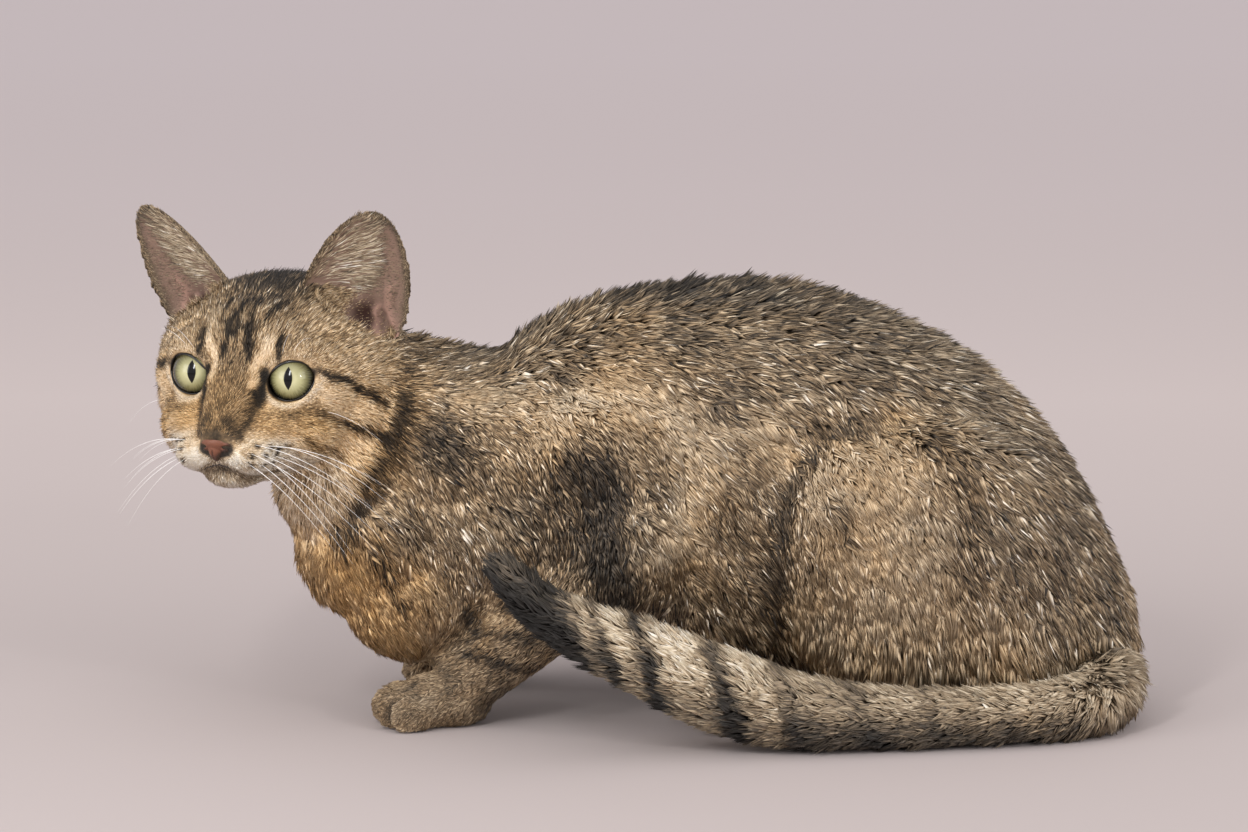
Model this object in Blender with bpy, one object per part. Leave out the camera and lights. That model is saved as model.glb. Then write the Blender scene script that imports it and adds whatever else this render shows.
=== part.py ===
# A domestic shorthair cat at life size, crouched on the floor. Its body points along -X,
# its head is turned towards -Y, and its tail lies forward along its left side, which is -Y.
# Metres, +Z up. The origin is on the floor, under the middle of the cat.

import math

import bpy
from mathutils import Euler, Matrix, Vector

GAP = 0.0003                # what two neighbouring parts keep between them
FLOOR_SINK = 0.0015         # how far the soles are modelled under the floor before it cuts them flat
MIDDLE = Vector((0.0003, -0.0141, 0.0))   # the middle of the cat's box, moved to the origin at the end

# Torso stations from the chest to the rump: x, middle y, top z, bottom z, half width.
TORSO = (
    (-0.104, -0.008, 0.140, 0.050, 0.036),
    (-0.078, -0.004, 0.163, 0.036, 0.048),
    (-0.052, 0.000, 0.182, 0.028, 0.055),
    (-0.022, 0.004, 0.195, 0.024, 0.059),
    (0.020, 0.008, 0.202, 0.022, 0.062),
    (0.060, 0.010, 0.203, 0.020, 0.065),
    (0.095, 0.010, 0.196, 0.016, 0.067),
    (0.125, 0.010, 0.184, 0.012, 0.067),
    (0.155, 0.008, 0.168, 0.009, 0.063),
    (0.182, 0.006, 0.145, 0.006, 0.056),
    (0.206, 0.004, 0.114, 0.006, 0.047),
    (0.223, 0.002, 0.080, 0.011, 0.036),
    (0.233, 0.000, 0.056, 0.022, 0.020),
)
BELLY_SAG = 0.12            # share by which the torso is wider below and narrower above
SPINE_Y = 0.008             # the plane that the two haunches and the two shoulders lie either side of

# The head is modelled facing +X, with its left at +Y, from the point midway between the eyeballs.
HEAD_PLACE = Vector((-0.1790, -0.0569, 0.1655))
HEAD_TURN = Euler((math.radians(-1.5), math.radians(1.4), math.radians(-107.8)), "XYZ")
EYE_APART = 0.0236          # each eyeball's middle from the head's middle plane
EYEBALL = 0.0115            # radius
EYE_OUTWARD = math.radians(12)          # how far each eye looks out from straight ahead
EYE_OPENING = (0.0102, 0.0087)          # half width and half height of the opening between the lids
LID_THICK = 0.0016
EAR_THICK = (0.0034, 0.0018)            # at the root and at the tip
EAR_CUP = 0.0165            # depth of the cup at the root
EARS = {                    # inner end of the root, outer end of the root, and the tip
    "left": ((-0.0265, 0.0165, 0.0380), (-0.0470, 0.0570, 0.0135), (-0.0220, 0.0540, 0.0745)),
    "right": ((-0.0260, -0.0225, 0.0370), (-0.0490, -0.0535, 0.0075), (-0.0220, -0.0608, 0.0718)),
}

# The tail's middle line from inside the rump to its tip: x, y, z, radius.
TAIL = (
    (0.2020, 0.0060, 0.0440, 0.0210),
    (0.2165, -0.0190, 0.0260, 0.0185),
    (0.2140, -0.0480, 0.0165, 0.0168),
    (0.1960, -0.0700, 0.0140, 0.0152),
    (0.1650, -0.0815, 0.0132, 0.0145),
    (0.1280, -0.0890, 0.0135, 0.0148),
    (0.0950, -0.0935, 0.0152, 0.0163),
    (0.0660, -0.0960, 0.0190, 0.0183),
    (0.0400, -0.0975, 0.0270, 0.0200),
    (0.0180, -0.0990, 0.0360, 0.0190),
    (-0.0050, -0.1010, 0.0465, 0.0168),
    (-0.0250, -0.1030, 0.0560, 0.0140),
    (-0.0450, -0.1045, 0.0680, 0.0112),
    (-0.0600, -0.1055, 0.0830, 0.0078),
)
TAIL_CUTS = (4, 9)          # the points of that line where the tail is divided

NOSE_SPACE = ((0.0370, 0.0, -0.0270), (0.0082, 0.0086, 0.0064))      # the nose leather, on the head

BODY_VOXEL = 0.0034
FINE_VOXEL = 0.0020
HEAD_VOXEL = 0.0013

FUR = {
    "coat": (0.235, 0.170, 0.105),
    "nose": (0.420, 0.170, 0.130),
    "ear": (0.400, 0.260, 0.205),
    "eye": (0.420, 0.470, 0.240),
}


def clear_scene():
    for obj in list(bpy.data.objects):
        bpy.data.objects.remove(obj)


def finish_of(name, colour, roughness=0.8):
    material = bpy.data.materials.new(name)
    material.use_nodes = True
    shader = material.node_tree.nodes["Principled BSDF"]
    shader.inputs["Base Color"].default_value = (*colour, 1.0)
    shader.inputs["Roughness"].default_value = roughness
    shader.inputs["Metallic"].default_value = 0.0
    return material


def object_of(name, points, faces):
    mesh = bpy.data.meshes.new(name)
    mesh.from_pydata([tuple(p) for p in points], [], faces)
    obj = bpy.data.objects.new(name, mesh)
    bpy.context.collection.objects.link(obj)
    return obj


def bake_modifiers(obj):
    # Replaces the object's mesh with the one that its modifiers make.
    bpy.context.view_layer.update()
    graph = bpy.context.evaluated_depsgraph_get()
    made = bpy.data.meshes.new_from_object(obj.evaluated_get(graph), depsgraph=graph)
    obj.modifiers.clear()
    obj.data = made
    return obj


def moved(obj, matrix):
    obj.data.transform(matrix)
    return obj


def stitched(name, rings):
    # Closes a row of rings, all with the same number of points, into one solid with capped ends.
    count = len(rings[0])
    points = [p for ring in rings for p in ring]
    faces = []
    for i in range(len(rings) - 1):
        for j in range(count):
            k = (j + 1) % count
            faces.append((i * count + j, i * count + k, (i + 1) * count + k, (i + 1) * count + j))
    faces.append(tuple(reversed(range(count))))
    faces.append(tuple(range((len(rings) - 1) * count, len(rings) * count)))
    return object_of(name, points, faces)


def between(values, t):
    # A Catmull-Rom curve through rows of numbers, read at t from 0 to len(values) - 1.
    i = min(int(t), len(values) - 2)
    f = t - i
    p0, p1, p2, p3 = (values[min(max(i + k, 0), len(values) - 1)] for k in (-1, 0, 1, 2))
    found = []
    for a, b, c, d in zip(p0, p1, p2, p3):
        found.append(
            0.5 * (2 * b + (c - a) * f + (2 * a - 5 * b + 4 * c - d) * f * f
                   + (3 * b - a - 3 * c + d) * f ** 3)
        )
    return found


def ball(centre, radii, turn=(0.0, 0.0, 0.0), segments=28, rings=18):
    # An ellipsoid, turned by degrees about X, Y and Z.
    rows = []
    for i in range(1, rings):
        polar = math.pi * i / rings
        rows.append([
            Vector((radii[0] * math.sin(polar) * math.cos(a), radii[1] * math.sin(polar) * math.sin(a),
                    -radii[2] * math.cos(polar)))
            for a in (2 * math.pi * j / segments for j in range(segments))
        ])
    obj = stitched("ball", rows)
    rotation = Euler([math.radians(d) for d in turn], "XYZ").to_matrix().to_4x4()
    return moved(obj, Matrix.Translation(centre) @ rotation)


def tube(path, segments=20, steps=3, grow=0.0):
    # A round tube with domed ends along x, y, z, radius rows.
    rows = [between(path, i / steps) for i in range((len(path) - 1) * steps + 1)]
    centres = [Vector(r[:3]) for r in rows]
    radii = [r[3] + grow for r in rows]
    rings = []
    side = Vector((0.0, 0.0, 1.0))
    for i, centre in enumerate(centres):
        along = (centres[min(i + 1, len(centres) - 1)] - centres[max(i - 1, 0)]).normalized()
        if i == 0:
            side = along.cross(Vector((0.3, 0.2, 0.9))).normalized()
        side = (side - along * side.dot(along)).normalized()
        other = along.cross(side)
        slices = [(0.0, 1.0)]
        if i == 0:
            slices = [(-0.97, 0.24), (-0.75, 0.66), (-0.4, 0.92), (0.0, 1.0)]
        if i == len(centres) - 1:
            slices = [(0.0, 1.0), (0.4, 0.92), (0.75, 0.66), (0.97, 0.24)]
        for forward, width in slices:
            middle = centre + along * forward * radii[i]
            rings.append([
                middle + (side * math.cos(a) + other * math.sin(a)) * width * radii[i]
                for a in (2 * math.pi * j / segments for j in range(segments))
            ])
    return stitched("tube", rings)


def fused(name, pieces, voxel, rounds):
    # One smooth closed skin over overlapping pieces.
    points = []
    faces = []
    for piece in pieces:
        start = len(points)
        points += [v.co.copy() for v in piece.data.vertices]
        faces += [tuple(start + i for i in p.vertices) for p in piece.data.polygons]
        bpy.data.objects.remove(piece)
    obj = object_of(name, points, faces)
    remesh = obj.modifiers.new("skin", "REMESH")
    remesh.mode = "VOXEL"
    remesh.voxel_size = voxel
    if rounds:
        smooth = obj.modifiers.new("smooth", "SMOOTH")
        smooth.factor = 0.5
        smooth.iterations = rounds
    return bake_modifiers(obj)


def thinned(obj, triangles):
    # Collapses the mesh to about this many triangles.
    obj.data.calc_loop_triangles()
    decimate = obj.modifiers.new("thin", "DECIMATE")
    decimate.ratio = min(1.0, triangles / len(obj.data.loop_triangles))
    decimate.use_collapse_triangulate = True
    return bake_modifiers(obj)


def copy_of(obj, name="copy"):
    twin = bpy.data.objects.new(name, obj.data.copy())
    bpy.context.collection.objects.link(twin)
    return twin


def swollen(obj, distance):
    # A copy with its surface moved out along its normals.
    twin = copy_of(obj, "swollen")
    displace = twin.modifiers.new("swell", "DISPLACE")
    displace.strength = distance
    displace.mid_level = 0.0
    return bake_modifiers(twin)


def boolean(obj, other, operation):
    modifier = obj.modifiers.new(operation, "BOOLEAN")
    modifier.operation = operation
    modifier.solver = "EXACT"
    modifier.object = other
    bake_modifiers(obj)
    bpy.data.objects.remove(other)
    return largest(obj)


def largest(obj):
    # Keeps only the largest closed surface of the mesh.
    mesh = obj.data
    parent = list(range(len(mesh.vertices)))

    def root(i):
        while parent[i] != i:
            parent[i] = parent[parent[i]]
            i = parent[i]
        return i

    for edge in mesh.edges:
        a, b = root(edge.vertices[0]), root(edge.vertices[1])
        parent[a] = b
    volume = {}
    for polygon in mesh.polygons:
        corners = [mesh.vertices[i].co for i in polygon.vertices]
        share = sum(corners[0].dot(corners[i].cross(corners[i + 1])) for i in range(1, len(corners) - 1))
        key = root(polygon.vertices[0])
        volume[key] = volume.get(key, 0.0) + share
    if len(volume) > 1:
        best = max(volume, key=volume.get)
        kept = [p for p in mesh.polygons if root(p.vertices[0]) == best]
        used = sorted({i for p in kept for i in p.vertices})
        place = {old: new for new, old in enumerate(used)}
        points = [mesh.vertices[i].co.copy() for i in used]
        faces = [tuple(place[i] for i in p.vertices) for p in kept]
        clean = bpy.data.meshes.new(mesh.name)
        clean.from_pydata([tuple(p) for p in points], [], faces)
        obj.data = clean
    return obj


def block(centre, size, rotation=None):
    # A box whose rotation, if any, is a 3 by 3 matrix.
    x, y, z = (s / 2 for s in size)
    corners = [(i * x, j * y, k * z) for k in (-1, 1) for j in (-1, 1) for i in (-1, 1)]
    faces = [(0, 2, 3, 1), (4, 5, 7, 6), (0, 1, 5, 4), (2, 6, 7, 3), (0, 4, 6, 2), (1, 3, 7, 5)]
    obj = object_of("block", [Vector(c) for c in corners], faces)
    matrix = rotation.to_4x4() if rotation else Matrix.Identity(4)
    return moved(obj, Matrix.Translation(centre) @ matrix)


def half_space(point, normal, size=0.6):
    # A block that fills the side of the plane which the normal points to.
    normal = Vector(normal).normalized()
    rotation = normal.to_track_quat("Z", "Y").to_matrix()
    return block(Vector(point) + normal * size / 2, (size, size, size), rotation)


# The trunk and the limbs

def torso_mass():
    rings = []
    steps = 3
    for i in range((len(TORSO) - 1) * steps + 1):
        x, y, top, bottom, half = between(TORSO, i / steps)
        middle, tall = (top + bottom) / 2, (top - bottom) / 2
        ring = []
        for j in range(36):
            a = 2 * math.pi * j / 36
            ring.append(Vector((
                x,
                y + half * math.cos(a) * (1 - BELLY_SAG * math.sin(a)),
                middle + tall * math.sin(a),
            )))
        rings.append(ring)
    return stitched("torso", rings)


def neck_masses():
    return [
        tube((
            (-0.160, -0.012, 0.156, 0.034),
            (-0.132, -0.008, 0.145, 0.040),
            (-0.100, 0.000, 0.127, 0.049),
            (-0.060, 0.002, 0.113, 0.055),
        ), segments=32),
        ball((-0.138, -0.020, 0.116), (0.034, 0.036, 0.036), (0, 20, 0)),
        ball((-0.122, -0.014, 0.087), (0.041, 0.041, 0.043), (0, 25, 0)),
        ball((-0.105, -0.012, 0.059), (0.039, 0.040, 0.035), (0, 20, 0)),
    ]


def side_masses(side):
    # Haunch, knee, rump, shoulder and upper arm of one side: side is -1 for left and 1 for right.
    y = SPINE_Y
    return [
        ball((0.130, y + side * 0.046, 0.078), (0.070, 0.036, 0.068), (0, 8, 0)),
        ball((0.098, y + side * 0.054, 0.088), (0.038, 0.026, 0.052), (0, -14, 0)),
        ball((0.150, y + side * 0.042, 0.047), (0.058, 0.032, 0.043)),
        ball((-0.022, y + side * 0.038, 0.116), (0.046, 0.030, 0.046), (0, -28, 0)),
        ball((-0.010, y + side * 0.047, 0.090), (0.036, 0.024, 0.044), (0, -12, 0)),
    ]


def foreleg(side, grow=0.0):
    y = SPINE_Y + side * 0.050
    return tube((
        (-0.004, y + side * 0.004, 0.086, 0.0260),
        (-0.018, y + side * 0.004, 0.067, 0.0235),
        (-0.044, y + side * 0.001, 0.050, 0.0190),
        (-0.066, y - side * 0.001, 0.030, 0.0155),
        (-0.084, y - side * 0.002, 0.016, 0.0142),
    ), grow=grow)


def paw(place, heading, size, toes):
    # A paw pointing along its heading, in degrees about Z. The toes are forward, across pairs.
    pieces = [
        ball((-0.0085 * size, 0, 0.0120 * size), (0.0190 * size, 0.0148 * size, 0.0132 * size), (0, 6, 0)),
        ball((0.000, 0, 0.0125 * size), (0.0155 * size, 0.0165 * size, 0.0125 * size), (0, 10, 0)),
    ]
    for forward, across in toes:
        pieces.append(ball(
            (forward * size, across * size, 0.0095 * size),
            (0.0112 * size, 0.0063 * size, 0.0102 * size), (0, 0, math.degrees(across) * 14),
            segments=20, rings=14,
        ))
    matrix = Matrix.Translation(place) @ Matrix.Rotation(math.radians(heading), 4, "Z")
    return [moved(piece, matrix) for piece in pieces]


FOUR_TOES = ((0.0110, -0.0134), (0.0160, -0.0048), (0.0160, 0.0048), (0.0110, 0.0134))
FOREPAWS = {-1: ((-0.0960, -0.0410, -FLOOR_SINK), 190, 1.06), 1: ((-0.0880, 0.0500, -FLOOR_SINK), 176, 1.06)}
HIND_TOES = {-1: 0.052, 1: 0.056}       # the x of each hind foot's toe joint


def hind_foot(side, grow=0.0):
    x = HIND_TOES[side]
    y = SPINE_Y + side * 0.056
    return tube((
        (x + 0.004, y, 0.0115, 0.0125),
        (x + 0.040, y, 0.0120, 0.0128),
        (x + 0.076, y, 0.0145, 0.0150),
        (x + 0.100, y, 0.0240, 0.0180),
    ), grow=grow)


def feet():
    pieces = []
    for side in (-1, 1):
        place, heading, size = FOREPAWS[side]
        pieces += paw(place, heading, size, FOUR_TOES)
        toe = (HIND_TOES[side], SPINE_Y + side * 0.056, -FLOOR_SINK)
        pieces += paw(toe, 180, 1.02, FOUR_TOES)
        pieces.append(hind_foot(side))
    return pieces


def whole_body():
    skull = moved(ball((-0.045, 0, -0.0028), (0.0545, 0.0595, 0.0442)), head_matrix())
    masses = [torso_mass(), *neck_masses(), skull]
    for side in (-1, 1):
        masses += side_masses(side)
        masses.append(foreleg(side))
    body = fused("body", masses, BODY_VOXEL, 9)
    body = fused("body", [body, *feet()], FINE_VOXEL, 3)
    return boolean(thinned(body, 4400), half_space((0, 0, 0), (0, 0, -1)), "DIFFERENCE")


# The head

def mirrored(make):
    return [make(side) for side in (-1, 1)]


def skull_masses():
    # The large forms of the head.
    pieces = [
        ball((-0.045, 0, -0.0028), (0.0545, 0.0595, 0.0442), segments=40, rings=26),
        ball((-0.014, 0, 0.012), (0.026, 0.027, 0.022)),
        ball((-0.006, 0, -0.034), (0.029, 0.028, 0.0160)),
        ball((0.0110, 0, -0.0290), (0.0225, 0.0230, 0.0145)),
        tube(((-0.026, 0, 0.016, 0.0200), (-0.004, 0, 0.005, 0.0165), (0.012, 0, -0.0065, 0.0130),
              (0.0235, 0, -0.0165, 0.0108), (0.0305, 0, -0.0230, 0.0086))),
    ]
    pieces += mirrored(lambda s: ball((-0.042, s * 0.035, -0.014), (0.031, 0.0245, 0.027)))
    pieces += mirrored(lambda s: ball((0.000, s * 0.023, -0.024), (0.026, 0.0175, 0.0170), (0, 0, -s * 30)))
    pieces += mirrored(lambda s: ball((-0.006, s * 0.023, 0.0100), (0.0160, 0.0170, 0.0110), (0, 0, -s * 14)))
    pieces += mirrored(lambda s: ball((-0.012, s * 0.034, -0.002), (0.0160, 0.0150, 0.0170)))
    pieces += mirrored(lambda s: ball((0.002, s * 0.0125, -0.006), (0.0120, 0.0100, 0.0120)))
    return pieces


def face_masses():
    # The smaller forms of the face: lips, chin, brows and lids.
    pieces = [ball((0.0125, 0, -0.0420), (0.0135, 0.0145, 0.0076))]
    pieces += mirrored(lambda s: ball((0.0195, s * 0.0112, -0.0322), (0.0146, 0.0132, 0.0096), (0, 0, s * 16)))
    pieces += mirrored(lambda s: ball((0, s * EYE_APART, 0), [EYEBALL + LID_THICK] * 3))
    return pieces


def eye_turn(side):
    return Matrix.Rotation(side * EYE_OUTWARD, 4, "Z")


def eye_opening(side):
    # The almond that the lids leave open, as a funnel around the line that the eye looks along.
    wide, tall = EYE_OPENING
    rings = []
    for front, width in ((0.10, 0.30), (0.55, 1.00), (1.15, 1.22), (2.00, 1.40)):
        ring = []
        for j in range(20):
            a = 2 * math.pi * j / 20
            across = wide * math.cos(a) * width
            up = tall * math.sin(a) * (1.0 - 0.08 * math.cos(a) ** 4) * width
            ring.append(Vector((front * EYEBALL, across, up + 0.14 * side * across)))
        rings.append(ring)
    cone = stitched("opening", rings)
    return moved(cone, Matrix.Translation((0, side * EYE_APART, 0)) @ eye_turn(side))


def ear_cup(name):
    # The hollow in front of the ear's root, long along the root.
    inner, outer, tip = (Vector(p) for p in EARS[name])
    along = (outer - inner).normalized()
    rise = (tip - (inner + outer) / 2).normalized()
    front = along.cross(rise) * (1 if name == "left" else -1)
    centre = (inner + outer) / 2 + along * 0.002 + rise * 0.0005 + front * 0.0030
    turn = Matrix((along, along.cross(rise).cross(along).normalized(), along.cross(rise))).transposed()
    hollow = ball((0, 0, 0), (0.0200, 0.0125, 0.0125), segments=16, rings=10)
    return moved(hollow, Matrix.Translation(centre) @ turn.to_4x4())


def groove(points, radius, host):
    # A tube along points, each dropped onto the host's surface, to cut a line into it.
    rows = []
    for point in points:
        _, place, _, _ = host.closest_point_on_mesh(Vector(point))
        rows.append((*place, radius))
    return tube(rows, segments=8, steps=2)


def head_solid():
    # The head with the top of the neck, so that the two agree where they are divided.
    neck = moved(fused("neck", neck_masses(), BODY_VOXEL, 9), head_matrix().inverted())
    skull = fused("skull", [neck, *skull_masses()], FINE_VOXEL, 14)
    head = thinned(fused("head", [skull, *face_masses()], HEAD_VOXEL, 4), 3300)
    for side in (-1, 1):
        socket = ball((0, side * EYE_APART, 0), [EYEBALL + GAP] * 3, segments=20, rings=10)
        head = boolean(head, eye_opening(side), "DIFFERENCE")
        head = boolean(head, socket, "DIFFERENCE")
        lip = [
            (0.0345, 0.0, -0.0395), (0.0325, side * 0.0045, -0.0418), (0.0265, side * 0.0105, -0.0434),
            (0.0165, side * 0.0165, -0.0426), (0.0060, side * 0.0215, -0.0400),
        ]
        head = boolean(head, groove(lip, 0.0011, head), "DIFFERENCE")
        head = boolean(head, ear_cup("left" if side > 0 else "right"), "DIFFERENCE")
        nostril = ball((0.0382, side * 0.0044, -0.0262), (0.0030, 0.0019, 0.0014), (side * 35, 0, side * 25),
                       segments=12, rings=8)
        head = boolean(head, nostril, "DIFFERENCE")
    philtrum = groove([(0.038, 0, -0.0315), (0.0365, 0, -0.0350), (0.0345, 0, -0.0395)], 0.0009, head)
    head = boolean(head, philtrum, "DIFFERENCE")
    return head


def ear_solid(name):
    # A curved leaf, cupped towards the front, with a thick root and a thin rim.
    inner, outer, tip = (Vector(p) for p in EARS[name])
    side = 1 if name == "left" else -1
    base = (inner + outer) / 2
    rise = tip - base
    across = outer - inner
    half = across.length / 2
    up = rise.normalized()
    wide = (across - up * across.dot(up)).normalized()
    front = wide.cross(up) * side
    root = 0.016
    shells = []
    rows, columns = 11, 10
    for layer in (0, 1):
        grid = []
        for i in range(rows + 1):
            t = (i / rows) * (1.6 - 0.6 * i / rows)
            along = -root + (rise.length + root) * t
            t_open = max(0.0, along) / rise.length
            width = max(0.0020, half * (1 - min(1.0, t_open) ** 2) ** 0.55)
            if along < 0:
                width *= 1.0 + 0.25 * along / root
            thick = EAR_THICK[0] + (EAR_THICK[1] - EAR_THICK[0]) * t_open
            cup = EAR_CUP * (1 - t_open) ** 0.8
            row = []
            for j in range(columns + 1):
                v = 2 * j / columns - 1
                angle = v * math.radians(80)
                depth = cup * (math.cos(angle) - 0.25)
                place = base + up * along + wide * width * math.sin(angle) - front * depth
                place -= front * thick * (0.5 if layer else -0.5) * (1 - 0.55 * abs(v) ** 3)
                row.append(place)
            grid.append(row)
        shells.append(grid)
    return leaf(shells, side < 0)


def leaf(shells, turned):
    # Joins two grids of points, front and back, into one closed thin solid.
    rows, columns = len(shells[0]), len(shells[0][0])
    points = [p for grid in shells for row in grid for p in row]
    at = lambda layer, i, j: (layer * rows + i) * columns + j
    faces = []
    for i in range(rows - 1):
        for j in range(columns - 1):
            faces.append((at(0, i, j), at(0, i, j + 1), at(0, i + 1, j + 1), at(0, i + 1, j)))
            faces.append((at(1, i, j), at(1, i + 1, j), at(1, i + 1, j + 1), at(1, i, j + 1)))
    for i in range(rows - 1):
        faces.append((at(0, i, 0), at(0, i + 1, 0), at(1, i + 1, 0), at(1, i, 0)))
        faces.append((at(0, i, columns - 1), at(1, i, columns - 1), at(1, i + 1, columns - 1),
                      at(0, i + 1, columns - 1)))
    for j in range(columns - 1):
        faces.append((at(0, 0, j), at(1, 0, j), at(1, 0, j + 1), at(0, 0, j + 1)))
        faces.append((at(0, rows - 1, j), at(0, rows - 1, j + 1), at(1, rows - 1, j + 1), at(1, rows - 1, j)))
    if turned:
        faces = [tuple(reversed(face)) for face in faces]
    return object_of("leaf", points, faces)


def head_matrix():
    return Matrix.Translation(HEAD_PLACE) @ HEAD_TURN.to_matrix().to_4x4()


# Where the whole is divided

NAPE = (Vector((-0.106, -0.005, 0.150)), Vector((0.85, 0.10, -0.50)).normalized())
THROAT = (Vector((-0.150, -0.020, 0.108)), Vector((0.30, 0.10, -0.95)).normalized())
COLLAR = (Vector((-0.085, 0.000, 0.150)), Vector((0.70, 0.00, -0.71)).normalized())


def head_wedge(shift=0.0):
    # The space that belongs to the head: in front of the nape plane and above the throat plane.
    front = half_space(NAPE[0] + NAPE[1] * shift, -NAPE[1])
    above = half_space(THROAT[0] + THROAT[1] * shift, -THROAT[1])
    return boolean(front, above, "INTERSECT")


def limb_claims(side):
    # The spaces that belong to the paw, the leg, the hind foot and the hind leg of one side.
    y = SPINE_Y + side * 0.060
    place, heading, size = FOREPAWS[side]
    toe = HIND_TOES[side]
    paw_space = ball((place[0] + side * 0.001, place[1], 0.0100), (0.036, 0.031, 0.027),
                     segments=20, rings=12)
    leg_space = fused("leg", [
        foreleg(side, 0.010),
        ball((-0.020, y, 0.112), (0.050, 0.036, 0.055), (0, -28, 0)),
    ], 0.004, 4)
    foot_space = fused("foot", [
        ball((toe, SPINE_Y + side * 0.056, 0.008), (0.030, 0.027, 0.023)),
        hind_foot(side, 0.0045),
    ], 0.004, 4)
    haunch = ball((0.132, y + side * 0.004, 0.078), (0.078, 0.042, 0.080), (0, 8, 0),
                  segments=20, rings=12)
    return paw_space, thinned(leg_space, 170), thinned(foot_space, 130), haunch


def named(obj, name, material, sharp=50):
    obj.name = name
    obj.data.name = name
    obj.data.materials.clear()
    obj.data.materials.append(material)
    for polygon in obj.data.polygons:
        polygon.use_smooth = True
    obj.data.set_sharp_from_angle(angle=math.radians(sharp))
    return obj


def claimed(body, space):
    # Cuts one space out of the body: what lies inside it, and the body less the same space grown.
    grown = swollen(space, GAP)
    part = boolean(copy_of(body), space, "INTERSECT")
    boolean(body, grown, "DIFFERENCE")
    return part


def divide_body(body):
    parts = {}
    tail = tube(TAIL, segments=18, steps=2)
    boolean(body, tube(TAIL, segments=18, steps=2, grow=GAP), "DIFFERENCE")
    boolean(tail, half_space((0, 0, 0), (0, 0, -1)), "DIFFERENCE")
    parts.update(divide_tail(tail))
    for side, suffix in ((-1, "left"), (1, "right")):
        names = ("forepaw_", "foreleg_", "hindfoot_", "hindleg_")
        for name, space in zip(names, limb_claims(side)):
            parts[name + suffix] = claimed(body, space)
    neck = boolean(copy_of(body), half_space(COLLAR[0] - COLLAR[1] * GAP, COLLAR[1]), "DIFFERENCE")
    boolean(neck, head_wedge(GAP), "DIFFERENCE")
    torso = boolean(body, half_space(COLLAR[0], -COLLAR[1]), "DIFFERENCE")
    parts["neck"] = neck
    parts["torso"] = torso
    return parts


def divide_tail(tail):
    # The tail in three lengths, divided square to its middle line.
    parts = {}
    planes = []
    for i in TAIL_CUTS:
        centre = Vector(TAIL[i][:3])
        along = (Vector(TAIL[i + 1][:3]) - Vector(TAIL[i - 1][:3])).normalized()
        planes.append((centre, along))
    (first, one), (second, two) = planes
    base = boolean(copy_of(tail), half_space(first, one, 0.5), "DIFFERENCE")
    middle = boolean(copy_of(tail), half_space(first + one * GAP, -one, 0.5), "DIFFERENCE")
    middle = boolean(middle, half_space(second, two, 0.5), "DIFFERENCE")
    tip = boolean(tail, half_space(second + two * GAP, -two, 0.5), "DIFFERENCE")
    parts["tail_base"] = base
    parts["tail_middle"] = middle
    parts["tail_tip"] = tip
    return parts


def main():
    clear_scene()
    finish = {name: finish_of(name, colour) for name, colour in FUR.items()}
    finish["eye"].node_tree.nodes["Principled BSDF"].inputs["Roughness"].default_value = 0.08
    finish["nose"].node_tree.nodes["Principled BSDF"].inputs["Roughness"].default_value = 0.45
    place = head_matrix()
    parts = divide_body(whole_body())
    head = moved(head_solid(), place)
    for name in EARS:
        ear = moved(ear_solid(name), place)
        parts["ear_" + name] = ear
        boolean(head, swollen(ear, GAP), "DIFFERENCE")
    boolean(head, half_space(NAPE[0], NAPE[1]), "DIFFERENCE")
    boolean(head, half_space(THROAT[0], THROAT[1]), "DIFFERENCE")
    parts["nose"] = claimed(head, moved(ball(*NOSE_SPACE, segments=16, rings=10), place))
    parts["head"] = head
    for side, name in ((1, "eye_left"), (-1, "eye_right")):
        eye = ball((0, side * EYE_APART, 0), [EYEBALL] * 3, segments=20, rings=10)
        parts[name] = moved(eye, place)
    for name, part in parts.items():
        moved(part, Matrix.Translation(-MIDDLE))
        key = name.split("_")[0]
        named(part, name, finish[key if key in finish else "coat"])


main()
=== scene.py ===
# A domestic shorthair tabby crouched on a pale floor: one skin over the flesh, a coat of small
# solid tufts, and eyes, lids, nose leather and whiskers of their own.
import math
from types import SimpleNamespace

import bpy
import numpy as np
from mathutils import Euler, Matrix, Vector, noise
from mathutils.bvhtree import BVHTree
from mathutils.kdtree import KDTree


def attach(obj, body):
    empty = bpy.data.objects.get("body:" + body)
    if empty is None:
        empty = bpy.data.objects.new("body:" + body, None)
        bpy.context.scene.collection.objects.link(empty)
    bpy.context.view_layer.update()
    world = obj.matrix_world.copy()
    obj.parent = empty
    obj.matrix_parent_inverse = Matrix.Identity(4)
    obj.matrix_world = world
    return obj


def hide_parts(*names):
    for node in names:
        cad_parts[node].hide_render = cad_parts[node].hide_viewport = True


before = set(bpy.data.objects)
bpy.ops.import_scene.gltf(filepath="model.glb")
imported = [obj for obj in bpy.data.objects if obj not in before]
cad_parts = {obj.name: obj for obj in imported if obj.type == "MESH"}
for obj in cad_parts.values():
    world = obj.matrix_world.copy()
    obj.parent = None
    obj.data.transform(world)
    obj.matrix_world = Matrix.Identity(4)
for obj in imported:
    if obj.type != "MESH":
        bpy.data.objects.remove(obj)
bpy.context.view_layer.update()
mm = 0.001

# The head's own frame looks along +X, with +Y to the cat's left.
headPose = {"place": (-0.1793, -0.0428, 0.1655), "turn": (-1.5, 1.4, -107.8)}
headTurn = np.array(Euler([math.radians(a) for a in headPose["turn"]], "XYZ").to_matrix())
headPlace = np.array(headPose["place"])
spineY = 0.0221                                   # the plane between the two shoulders and haunches


def toHead(points):
    return (np.asarray(points) - headPlace) @ headTurn


def fromHead(points):
    return np.asarray(points) @ headTurn.T + headPlace


def unit(vectors):
    return vectors / np.maximum(np.linalg.norm(vectors, axis=-1, keepdims=True), 1e-9)


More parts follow.
